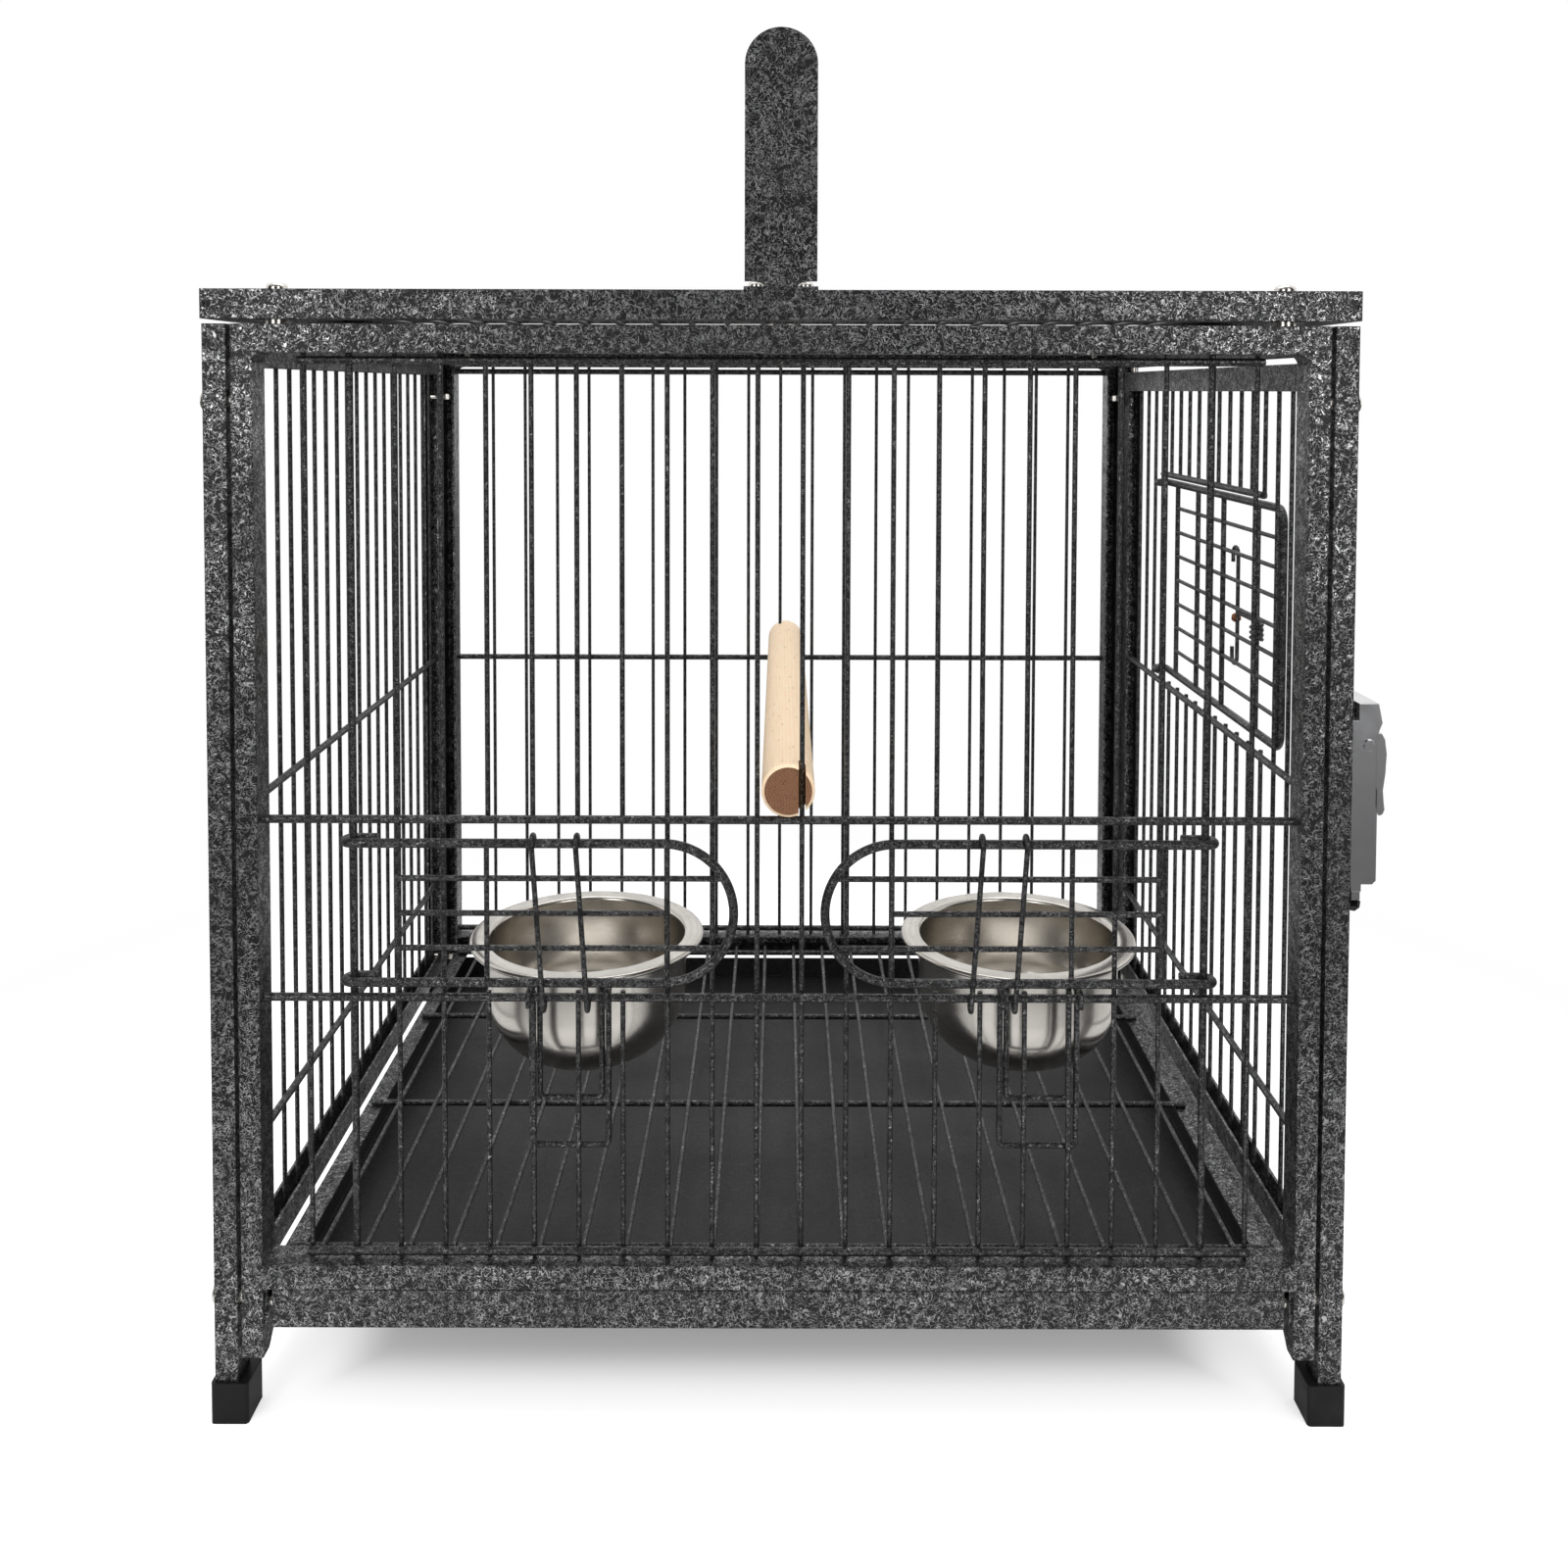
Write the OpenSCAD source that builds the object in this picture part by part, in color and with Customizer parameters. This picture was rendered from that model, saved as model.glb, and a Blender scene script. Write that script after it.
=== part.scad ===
// Bird travel carrier: a knock-down wire cage of bolted channel frames, with a full side door,
// a small grid door in it, two feeder doors, hung cups, a perch, a tray and a carrying handle.
// X runs to the right, Y to the back and Z up. The origin is on the floor, at the middle of the
// four feet. Depths are counted from the front face of the cage.

/* [Cage] */
// Width over the outer faces of the two side frames
cage_w = 465; // [440:5:480]
// Depth over the front and back faces
cage_d = 365; // [350:5:380]
// Height of the top edge of the four upright panels
panel_top = 453; // [440:1:465]
// Wall of every folded channel
sheet_t = 1.2; // [1:0.1:1.5]

/* [Front and back panels] */
// Width of the face of a front or back post
post_face = 8.7; // [8:0.1:10]
// Depth of the channels of the front and back panels
channel_depth = 14; // [12:0.5:16]
// Height of the face of the top rails
top_face = 11.5; // [10:0.5:14]
// Height of the face of the bottom rails
bottom_face = 10; // [8:0.5:12]
// Height of the lower edge of the bottom rails
bottom_rail_z = 56; // [52:0.5:60]
// Height at which the front and back posts end
leg_end_z = 27; // [24:1:32]
// Radius of the filled corner under each end of the top rails
corner_r = 4; // [2:0.5:6]
// Chamfer of the lower end of the inner post flanges
leg_chamfer = 5; // [3:0.5:7]

/* [Side frames] */
// Width of the face of a side post
side_face = 9.5; // [9:0.1:11]
// Depth of the channels of the side posts
side_depth = 13; // [12:0.5:15]
// Space between a side post and the front or back panel
panel_gap = 1.8; // [1.4:0.1:2.4]
// Height of the top rails of the side frames
side_top_face = 17; // [15:0.5:18]
// Height of the bottom rail of the left frame
side_bottom_face = 12; // [10:0.5:14]
// Height of the lower edge of the bottom rail of the left frame
side_bottom_z = 44; // [42:0.5:47]
// Height of the header over the side door
header_face = 11; // [9:0.5:12]
// Height of the top of the sill under the side door
sill_top = 39.5; // [37:0.5:41]

/* [Wires] */
// Diameter of the thin wires
wire_d = 2.1; // [1.8:0.1:2.4]
// Diameter of the cross rods of the panels
rod_d = 3.4; // [3:0.1:3.8]
// Depth by which crossing wires are pressed into each other at their welds
weld = 0.35; // [0.25:0.05:0.5]
// Depth of the thin wires of the front panel behind its face
mesh_depth = 8; // [7.5:0.1:9]
// Number of upright wires in the front panel
front_wires = 22; // [22:2:24]
// Space between a front post and the middle of the first upright wire
front_margin = 18.25; // [17:0.25:22]
// Number of upright wires in the back panel
back_wires = 19; // [17:2:21]
// Space between a back post and the middle of the first upright wire
back_margin = 24.4; // [20:0.1:28]
// Number of upright wires in the left panel
left_wires = 20; // [18:1:22]
// Height of the rod that runs round the cage and carries the perch
middle_rod_z = 250.4; // [248:0.1:254]
// Height of the lower front rod, which carries the cups
cup_rod_z = 176.2; // [174:0.1:178]
// Height of the lower rod of the side panels
low_rod_z = 103; // [90:1:112]
// Space between the rails and the short rods beside them
edge_rod_gap = 1.3; // [0.8:0.1:2]

/* [Roof] */
// Space between the panels and the roof
roof_gap = 2; // [1.6:0.1:2.6]
// Height of the roof rails
roof_h = 12; // [10:0.5:14]
// Width of the flanges of the roof rails
roof_flange = 14; // [12:0.5:16]
// Overhang of the roof past the panels
roof_over = 0.5; // [0:0.1:1]
// Number of roof wires
roof_wires = 22; // [20:2:24]
// Side of the square holes at the ends of the long roof rails
roof_hole = 3; // [2:0.5:4]

/* [Feet] */
// Side of a foot cap
cap_w = 15.5; // [15:0.1:17]
// Height of a foot cap
cap_h = 17; // [15:0.5:19]
// Floor thickness of a foot cap
cap_floor = 3; // [2:0.5:4]
// Radius of the upright edges of a foot cap
cap_r = 1.5; // [1:0.1:2]
// Play between a foot cap and the post in it
cap_play = 0.1; // [0.05:0.05:0.2]

/* [Screws] */
// Shank diameter of the frame screws
screw_d = 4; // [3.5:0.1:4.2]
// Head diameter of the frame screws
head_d = 8.8; // [7:0.2:9]
// Head height of the frame screws
head_h = 2.8; // [2:0.1:3]
// Play between a screw and its holes
screw_play = 0.1; // [0.05:0.05:0.2]
// Height of the upper side screws
upper_screw_z = 422; // [414:1:428]
// Height of the lower side screws
lower_screw_z = 50.5; // [48:0.5:52]
// Distance of the roof screws from the middle of the cage
roof_screw_x = 204.5; // [195:0.5:206]

/* [Handle] */
// Width of the handle plates
plate_w = 30; // [26:1:34]
// Height of the handle over the roof
handle_h = 108.5; // [95:0.5:120]
// Thickness of the handle plates
plate_t = 3; // [2.5:0.1:4]
// Depth of the middle of the front handle plate
plate_depth = 18; // [17:0.5:22]
// Width of the neck between a plate and its foot
neck_w = 10; // [8:0.5:11]
// Height of the neck over the roof
neck_h = 4.8; // [4.6:0.1:7]
// Thickness of the foot of a handle plate
foot_t = 1.5; // [1:0.1:2]
// Distance of the handle screws from the middle
handle_screw_x = 10; // [10:0.5:12]
// Diameter of the handle tube
tube_d = 19; // [16:0.5:20]
// Diameter of the soft grip
grip_d = 27; // [24:0.5:28]
// Length of the soft grip
grip_l = 130; // [100:5:180]

/* [Tray and floor] */
// Height of the lower edge of the tray front
tray_z = 40; // [39.4:0.1:40.4]
// Space between the tray and its runners on each side
tray_play = 2.8; // [2.3:0.1:6]
// Height of the tray walls over the tray floor
tray_wall = 11.5; // [9:0.5:12]
// Sheet thickness of the tray
tray_t = 1; // [0.8:0.1:1.2]
// Space between the tray and the back of the cage
tray_back = 19; // [16:1:30]
// Width of the ledge under each side of the tray
ledge = 16.5; // [12:0.5:20]
// Width of the ledge that carries the floor grille
grille_ledge = 8.5; // [7:0.5:9]
// Number of front-to-back wires in the floor grille
floor_wires = 22; // [20:2:22]
// Depths of the cross rods under the floor grille
floor_rod_depths = [24, 146, 247, 341];

/* [Perch] */
// Diameter of the perch
perch_d = 22; // [18:0.5:22.5]
// Sideways place of the perch
perch_x = 3.5; // [3:0.5:4.5]
// Depth at which the perch starts
perch_start = 2; // [1:0.5:3]
// Width of the kerfs for the panel wires
kerf_w = 3; // [2.8:0.1:3.4]
// Length of the kerfs
kerf_l = 10; // [9:0.5:14]
// Chamfer of the perch ends
perch_chamfer = 1.2; // [0.5:0.1:2]

/* [Cups] */
// Outer radius of the rim of a cup
rim_r = 52.5; // [50:0.5:53]
// Outer radius of the body of a cup
cup_r = 44.5; // [42:0.5:46]
// Height of a cup
cup_h = 54; // [46:1:60]
// Radius of the lower edge of a cup
cup_round = 30; // [20:1:36]
// Sheet thickness of a cup
cup_t = 0.8; // [0.6:0.1:1]
// Radius of the rolled edge of a cup
roll_r = 1.3; // [1:0.1:1.6]
// Sideways distance of the left cup from the middle
left_cup_x = 87; // [85:0.5:89]
// Sideways distance of the right cup from the middle
right_cup_x = 108; // [106:0.5:108.5]
// Depth of the middle of the cups
cup_depth = 64; // [63.5:0.5:70]
// Height of the rim of the cups over the rod that carries them
rim_over_rod = 5; // [3.6:0.1:5.4]
// Diameter of the wire of the cup hangers
hanger_d = 2.4; // [2:0.1:2.6]
// Spacing of the two legs of a cup hanger
hanger_w = 32; // [28:0.5:34]
// Drop of the long loop of a cup hanger below its rod
long_loop = 64.5; // [56:0.5:70]
// Drop of the short loop of a cup hanger below its rod
short_loop = 45.5; // [38:0.5:50]

/* [Feeder doors] */
// Diameter of the frame wire of a feeder door
feeder_d = 3.8; // [3.4:0.1:4]
// Height of a feeder door over the middle of its frame wires
feeder_h = 58; // [56:0.1:60]
// Reach of a feeder door from its hinge wire
feeder_l = 157; // [150:1:160]
// Height of the lower bar of a feeder door over the cup rod
feeder_lift = 6.6; // [6.3:0.1:7]
// Diameter of the panel wires that the feeder doors turn on
hinge_wire_d = 3; // [2.8:0.1:3.2]
// Play of a hinge loop round its wire
loop_play = 0.1; // [0.05:0.01:0.1]
// Length of the tail of a hinge loop
loop_tail = 9; // [6:0.5:10]
// Diameter of the cross wires of a feeder door
feeder_wire_d = 2.4; // [2:0.1:2.6]
// Diameter of the hook wires
hook_d = 2.2; // [1.8:0.1:2.4]
// Play of a hook wire round the bar it hangs on
hook_play = 0.3; // [0.25:0.05:0.4]
// Sideways places of the tops of the two hooks, from the hinge wire
hook_tops = [74.5, 92.5];
// Sideways lean of a hook over its length
hook_lean = 4.5; // [3:0.5:5]

/* [Side door] */
// Depth at which the side door starts
door_start = 15; // [14.5:0.5:17]
// Distance of the back edge of the side door behind its hinge axis
door_heel = 5; // [4.8:0.1:5.2]
// Space between the back edge of the side door and the back post
heel_gap = 2.5; // [2.2:0.1:3]
// Width of the frame of the side door
door_face = 12; // [10:0.5:14]
// Thickness of the side door
door_t = 9; // [8.6:0.1:9.4]
// Height of the lower edge of the side door
door_z0 = 48; // [46:0.5:50]
// Height of the upper edge of the side door
door_z1 = 438.8; // [437:0.1:440]
// Number of upright wires in the side door
door_wires = 17; // [16:1:18]
// Space between the front stile and the first wire
door_first_gap = 15.3; // [14:0.1:17]
// Space between the last wire and the back stile
door_last_gap = 14.6; // [13:0.1:16]
// Diameter of the hinge pins of the side door
pin_d = 4; // [3.5:0.1:4.4]
// Play of the hinge pins in their holes
pin_play = 0.05; // [0.03:0.01:0.08]
// Height of the middle rod of the side door
door_rod_z = 255.3; // [253:0.1:257]
// Height of the rod over the access door
access_rod_z = 378.3; // [377:0.1:382]

/* [Access door] */
// First wire that is cut for the access door
access_first = 3; // [3:1:3]
// Wire that the access door turns on
access_hinge = 13; // [13:1:13]
// Diameter of the frame wire of the access door
access_d = 4; // [3.6:0.1:4.2]
// Diameter of the wire that the access door turns on
access_pin_d = 2.6; // [2.4:0.1:2.8]
// Height of the lower bar of the access door
access_z0 = 261.4; // [261:0.1:262.4]
// Height of the upper bar of the access door
access_z1 = 372.7; // [371:0.1:373]
// Number of cross wires of the access door
access_rows = 7; // [6:1:8]
// Overlap of the access door past the first panel wire
access_overlap = 1.5; // [1:0.1:2.5]
// Bend radius of the free corners of the access door
access_bend = 7; // [5:0.5:9]
// Distances of its upright wires from the hinge wire
access_uprights = [157, 104, 59, 19];

/* [Access latch] */
// Wire diameter of the latch of the access door
bolt_d = 2; // [1.8:0.1:2.2]
// Reach of the latch from the upright wire that it turns on
bolt_arm = 37; // [34:1:40]
// Height of the lower end of the latch
bolt_z0 = 287; // [281:1:291]
// Height of the upper end of the latch
bolt_z1 = 347; // [340:1:350]
// Width of the hooks of the latch
bolt_loop = 8; // [7:0.5:9]
// Diameter of the drop of braze on the latch
braze_d = 4.6; // [3.5:0.1:5]
// Height of the coil of the latch
coil_z0 = 306.4; // [306:0.1:306.8]
// Turns of the coil of the latch
coil_turns = 3; // [2:1:3]
// Space between the turns of the coil
coil_gap = 0.5; // [0.45:0.05:0.7]

/* [Toggle latch] */
// Height of the top of the toggle latch
latch_top = 300; // [296:1:304]
// Length of the toggle latch
latch_l = 74.5; // [72:0.5:79]
// Thickness of the toggle latch over its cheeks
latch_t = 10.6; // [10:0.1:11]
// Width of the toggle latch
latch_w = 26; // [24:0.5:28]
// Sheet thickness of the toggle latch
latch_sheet = 1; // [0.8:0.1:1.2]
// Depth of the near cheek of the toggle latch
latch_depth = 2; // [1.5:0.1:2.5]
// Diameter of the pivot pin of the lever
pivot_d = 3; // [2.5:0.1:3.4]
// Distance of the pivot below the top of the latch
pivot_drop = 17; // [16:0.5:18]
// Length of the lever of the toggle latch below its top
lever_l = 46.5; // [45:0.5:48]
// Length of the tongue past the body of the latch
tongue_l = 7; // [6:0.5:8]
// Space between the tongue and the lip of the keeper
tongue_gap = 0.4; // [0.3:0.05:0.6]

/* [Hidden] */
$fn = 48;

eps = 0.01;
coat = [0.16, 0.16, 0.17];
steel = [0.75, 0.74, 0.72];
plastic = [0.08, 0.08, 0.08];
half_w = cage_w / 2;
half_d = cage_d / 2;
// Sideways places of the panel posts, from the middle to the right
side_inner = half_w - side_face;
post_outer = side_inner - panel_gap;
post_inner = post_outer - post_face;
front_pitch = 2 * (post_inner - front_margin) / (front_wires - 1);
back_pitch = 2 * (post_inner - back_margin) / (back_wires - 1);
top_rail_z = panel_top - top_face;
bottom_rail_top = bottom_rail_z + bottom_face;
roof_z = panel_top + roof_gap;
roof_top = roof_z + roof_h;
screw_r = screw_d / 2;
hole_r = screw_r + screw_play;
screw_depth = side_depth / 2;
nut_t = 3.2;
wire_r = wire_d / 2;
rod_r = rod_d / 2;
rod_depth = mesh_depth - wire_r - rod_r + weld;
mesh_x = half_w - side_face / 2;
hinge_post = 1;
opening_first = 4;
opening_last = 7;

function fy(depth) = depth - half_d;
function by(depth) = half_d - depth;
function unit(v) = v / norm(v);
function front_x(i) = (i - (front_wires - 1) / 2) * front_pitch;
function row(n, pitch) = [for (i = [0:n - 1]) (i - (n - 1) / 2) * pitch];
function turn_of(p, i) = acos(unit(p[i] - p[i - 1]) * unit(p[i + 1] - p[i]));
function bend_at(bend, i) = is_list(bend) ? bend[i] : bend;
function setback(p, i, bend) =
    i == 0 || i == len(p) - 1 ? 0 : bend_at(bend, i) * tan(turn_of(p, i) / 2);

// Turns the children's +Z towards b and puts them at a
module aim(a, b) {
    z = unit(b - a);
    x = unit(cross(abs(z[2]) < 0.9 ? [0, 0, 1] : [1, 0, 0], z));
    y = cross(z, x);
    multmatrix([[x[0], y[0], z[0], a[0]], [x[1], y[1], z[1], a[1]], [x[2], y[2], z[2], a[2]]])
        children();
}

module rod(a, b, d) {
    aim(a, b) cylinder(h = norm(b - a), d = d);
}

// A wire through the points p, with a round bend at each inner point: bend is one radius, or
// a list with one for each point
module wire(p, d, bend) {
    for (i = [0:len(p) - 2]) {
        u = unit(p[i + 1] - p[i]);
        a = p[i] + u * setback(p, i, bend);
        b = p[i + 1] - u * setback(p, i + 1, bend);
        if (norm(b - a) > eps) rod(a, b, d);
    }
    for (i = [1:len(p) - 2]) {
        u = unit(p[i] - p[i - 1]);
        v = unit(p[i + 1] - p[i]);
        angle = turn_of(p, i);
        r = bend_at(bend, i);
        c = p[i] + unit(v - u) * r / cos(angle / 2);
        x = unit(p[i] - u * setback(p, i, bend) - c);
        z = cross(x, u);
        multmatrix([[x[0], u[0], z[0], c[0]], [x[1], u[1], z[1], c[1]], [x[2], u[2], z[2], c[2]]])
            rotate_extrude(angle = angle) translate([r, 0]) circle(d = d);
    }
}

// An upright folded channel: its web faces -Y, its outer flange is at x = 0 and its inner
// flange at x = w. The ends are cut back by m0 and m1 at the inner flange, as for a mitre.
module face_channel(l, w, depth, m0 = 0, m1 = 0) {
    difference() {
        translate([0, depth, 0]) rotate([90, 0, 0])
            linear_extrude(depth) polygon([[0, 0], [w, m0], [w, l - m1], [0, l]]);
        translate([sheet_t, sheet_t, -1]) cube([w - 2 * sheet_t, depth, l + 2]);
    }
}

// An upright folded channel that opens to +X: its web is at x = 0, its flanges at y = 0 and
// y = w. The ends are cut back by m0 and m1 at the open side, as for a mitre.
module edge_channel(l, w, depth, m0 = 0, m1 = 0) {
    difference() {
        translate([0, w, 0]) rotate([90, 0, 0])
            linear_extrude(w) polygon([[0, 0], [depth, m0], [depth, l - m1], [0, l]]);
        translate([sheet_t, sheet_t, -1]) cube([depth, w - 2 * sheet_t, l + 2]);
    }
}

module mirrored(v) {
    children();
    mirror(v) children();
}

// Straight wires along Z at the places xs, at depth y
module uprights(xs, y, z0, z1, d) {
    for (x = xs) translate([x, y, z0]) cylinder(h = z1 - z0, d = d);
}

module level_rod(x0, x1, y, z, d) {
    rod([x0, y, z], [x1, y, z], d);
}

module deep_rod(x, y0, y1, z, d) {
    rod([x, y0, z], [x, y1, z], d);
}

module rounded_block(size, r) {
    linear_extrude(size[2]) {
        translate([r, 0]) square([size[0] - 2 * r, size[1]]);
        translate([0, r]) square([size[0], size[1] - 2 * r]);
        for (x = [r, size[0] - r], y = [r, size[1] - r]) translate([x, y]) circle(r);
    }
}

// A screw that points down from z = 0, with a domed head above
module screw(l, d, head, height) {
    rotate_extrude() {
        translate([0, -l]) square([d / 2, l + eps]);
        intersection() {
            square([head / 2, height]);
            translate([0, height - head * 0.62]) circle(head * 0.62);
        }
    }
}

module ring(r_out, r_in, h) {
    difference() {
        cylinder(h = h, r = r_out);
        translate([0, 0, -1]) cylinder(h = h + 2, r = r_in);
    }
}

// ---- Front and back panels ----

// Places for the screws that join a side post to the front panel, on the right
module at_side_screws() {
    for (z = [lower_screw_z, upper_screw_z])
        translate([half_w, fy(screw_depth), z]) rotate([0, 90, 0]) children();
}

module side_screw_holes() {
    at_side_screws() translate([0, 0, -side_face - panel_gap - post_face + sheet_t + eps])
        cylinder(h = side_face + panel_gap + post_face, r = hole_r);
}

module runner_screw_place() {
    translate([post_inner, fy(channel_depth / 2), tray_z + tray_wall / 2 + 2])
        rotate([0, 90, 0]) children();
}

module panel_post() {
    l = panel_top - leg_end_z;
    difference() {
        translate([post_outer, fy(0), leg_end_z]) mirror([1, 0, 0])
            face_channel(l, post_face, channel_depth, 0, top_face);
        side_screw_holes();
        runner_screw_place() translate([0, 0, -1])
            cylinder(h = sheet_t + 2, r = runner_screw_r + screw_play);
        // chamfered lower corner of the inner flange
        translate([post_inner - 1, fy(channel_depth), leg_end_z])
            rotate([45, 0, 0]) translate([0, -leg_chamfer, -leg_chamfer])
                cube([sheet_t + 2, 2 * leg_chamfer, 2 * leg_chamfer]);
    }
}

module panel_posts() {
    color(coat) mirrored([1, 0, 0]) panel_post();
}

module panel_rails() {
    color(coat) {
        difference() {
            union() {
                translate([-post_outer, fy(0), panel_top]) rotate([0, 90, 0])
                    face_channel(2 * post_outer, top_face, channel_depth, post_face, post_face);
                mirrored([1, 0, 0]) translate([post_inner, fy(channel_depth), top_rail_z])
                    rotate([90, 0, 0]) linear_extrude(channel_depth) difference() {
                        translate([-corner_r, -corner_r]) square([corner_r, corner_r + eps]);
                        translate([-corner_r, -corner_r]) circle(corner_r);
                    }
            }
            mirrored([1, 0, 0]) translate([roof_screw_x, fy(channel_depth / 2), top_rail_z + sheet_t + eps])
                cylinder(h = top_face, r = hole_r);
        }
        translate([-post_inner, fy(0), bottom_rail_top]) rotate([0, 90, 0])
            face_channel(2 * post_inner, bottom_face, channel_depth);
    }
}

module front_posts() panel_posts();
module front_rails() panel_rails();
module back_posts() mirror([0, 1, 0]) panel_posts();
module back_rails() mirror([0, 1, 0]) panel_rails();

// The wires that stand between the two feeder doors and beside them
full_wires = [for (i = [0:front_wires - 1])
    let (k = min(i, front_wires - 1 - i)) if (k < opening_first || k > opening_last) i];
upper_cut = middle_rod_z - rod_r - eps;
lower_cut = cup_rod_z + rod_r + eps;
feeder_hinge_x = -front_x(hinge_post);

function hinge_or_thin(i) =
    min(i, front_wires - 1 - i) == hinge_post ? hinge_wire_d : wire_d;

module front_wires_between(indices, z0, z1) {
    for (i = indices)
        translate([front_x(i), fy(mesh_depth), z0]) cylinder(h = z1 - z0, d = hinge_or_thin(i));
}

module front_mesh_top() {
    color(coat) {
        front_wires_between([0:front_wires - 1], upper_cut, top_rail_z);
        level_rod(-post_inner, post_inner, fy(rod_depth), middle_rod_z, rod_d);
        level_rod(front_x(0) - 2, -front_x(0) + 2, fy(rod_depth), top_rail_z - edge_rod_gap - rod_r,
            rod_d);
    }
}

module front_mesh_bottom() {
    color(coat) {
        front_wires_between([0:front_wires - 1], bottom_rail_top, lower_cut);
        level_rod(-post_inner, post_inner, fy(rod_depth), cup_rod_z, rod_d);
        level_rod(front_x(0) - 1, -front_x(0) + 1, fy(rod_depth),
            bottom_rail_top + edge_rod_gap + rod_r, rod_d);
    }
}

module front_mesh_left() {
    color(coat) front_wires_between([for (i = full_wires) if (i < opening_first) i],
        lower_cut, upper_cut);
}

module front_mesh_middle() {
    color(coat) front_wires_between(
        [for (i = full_wires) if (i > opening_last && i < front_wires - 1 - opening_last) i],
        lower_cut, upper_cut);
}

module front_mesh_right() {
    color(coat) front_wires_between(
        [for (i = full_wires) if (i > front_wires - 1 - opening_first) i], lower_cut, upper_cut);
}

module back_mesh() {
    color(coat) mirror([0, 1, 0]) {
        uprights(row(back_wires, back_pitch), fy(mesh_depth), bottom_rail_top, top_rail_z, wire_d);
        for (z = [top_rail_z - edge_rod_gap - rod_r, middle_rod_z,
                  bottom_rail_top + edge_rod_gap + rod_r])
            level_rod(-post_inner, post_inner, fy(rod_depth), z, rod_d);
    }
}

// ---- Side frames ----

module side_post(m1) {
    difference() {
        translate([half_w, fy(0), cap_floor + cap_play]) rotate([0, 0, 90])
            edge_channel(panel_top - cap_floor - cap_play, side_face, side_depth, 0, m1);
        side_screw_holes();
    }
}

module left_posts() {
    color(coat) mirror([1, 0, 0]) mirrored([0, 1, 0]) side_post(side_top_face);
}

module right_posts() {
    color(coat) mirrored([0, 1, 0]) side_post(header_face);
}

// A rail that runs from front to back on the right, opening downwards from z
module side_rail(z, y0, y1, face, m) {
    translate([half_w, y0, z]) rotate([0, 90, 90])
        edge_channel(y1 - y0, side_face, face, m, m);
}

module left_rails() {
    color(coat) mirror([1, 0, 0]) {
        side_rail(panel_top, fy(0), by(0), side_top_face, side_depth);
        translate([0, 0, 2 * side_bottom_z]) mirror([0, 0, 1])
            side_rail(side_bottom_z, fy(side_depth), by(side_depth), side_bottom_face, 0);
    }
}

door_axis_y = by(side_depth + heel_gap + door_heel);
door_axis_x = mesh_x;

module hinge_pin_hole(z) {
    translate([door_axis_x, door_axis_y, z]) cylinder(h = 2 * sheet_t + 2, r = pin_d / 2 + pin_play,
        center = true);
}

module right_rails() {
    color(coat) {
        difference() {
            side_rail(panel_top, fy(0), by(0), header_face, side_depth);
            hinge_pin_hole(panel_top);
        }
        difference() {
            side_rail(sill_top, fy(side_depth), by(side_depth), side_bottom_face, 0);
            hinge_pin_hole(sill_top);
        }
    }
}

module left_mesh() {
    first = side_depth + 5;
    pitch = (cage_d - 2 * first) / (left_wires - 1);
    rod_x = -mesh_x + wire_r + rod_r - weld;
    color(coat) {
        for (y = row(left_wires, pitch))
            translate([-mesh_x, y, side_bottom_z + sheet_t])
                cylinder(h = panel_top - side_bottom_z - 2 * sheet_t, d = wire_d);
        for (z = [low_rod_z, middle_rod_z]) deep_rod(rod_x, fy(side_depth), by(side_depth), z, rod_d);
    }
}

// ---- Roof ----

roof_half_w = half_w + roof_over;
roof_half_d = half_d + roof_over;

module at_roof_screws() {
    for (x = [-roof_screw_x, roof_screw_x], s = [-1, 1])
        translate([x, s * (half_d - channel_depth / 2), 0]) children();
}

module at_handle_screws() {
    for (x = [-handle_screw_x, handle_screw_x]) translate([x, fy(handle_screw_depth), 0]) children();
}

handle_screw_depth = 8;

module roof_long_rail() {
    difference() {
        translate([-roof_half_w, -roof_half_d, roof_z]) rotate([90, 0, 90])
            edge_channel(2 * roof_half_w, roof_h, roof_flange, roof_flange, roof_flange);
        at_roof_screws() translate([0, 0, roof_z - 1]) cylinder(h = roof_h + 2, r = hole_r);
        at_handle_screws() translate([0, 0, roof_top - sheet_t - 1])
            cylinder(h = sheet_t + 2, r = hole_r);
        for (x = [-1, 1]) translate([x * (roof_half_w - roof_hole * 0.85), -roof_half_d, roof_z + roof_h / 2])
            cube([roof_hole, 3, roof_hole], center = true);
    }
}

module roof_long_rails() {
    color(coat) mirrored([0, 1, 0]) roof_long_rail();
}

module roof_end_rails() {
    color(coat) mirrored([1, 0, 0]) translate([roof_half_w, -roof_half_d, roof_z])
        rotate([0, 0, 90]) rotate([90, 0, 90])
            edge_channel(2 * roof_half_d, roof_h, roof_flange, roof_flange, roof_flange);
}

module roof_mesh() {
    z = roof_z + roof_h / 2;
    reach = roof_half_d - sheet_t;
    color(coat) {
        for (x = row(roof_wires, front_pitch)) deep_rod(x, -reach, reach, z, wire_d);
        for (y = [-cage_d / 4, 0, cage_d / 4])
            level_rod(-roof_half_w + sheet_t, roof_half_w - sheet_t, y, z + wire_r + rod_r - weld, rod_d);
    }
}

// ---- Feet and fasteners ----

module foot_cap() {
    outer = 1.5;
    x0 = half_w + outer - cap_w;
    difference() {
        translate([x0, fy(-outer), 0]) rounded_block([cap_w, cap_w + 1.5, cap_h], cap_r);
        translate([side_inner - cap_play, fy(-cap_play), cap_floor])
            cube([side_face + 2 * cap_play, side_depth + 2 * cap_play, cap_h]);
    }
}

module foot_caps() {
    color(plastic) mirrored([1, 0, 0]) mirrored([0, 1, 0]) foot_cap();
}

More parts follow.
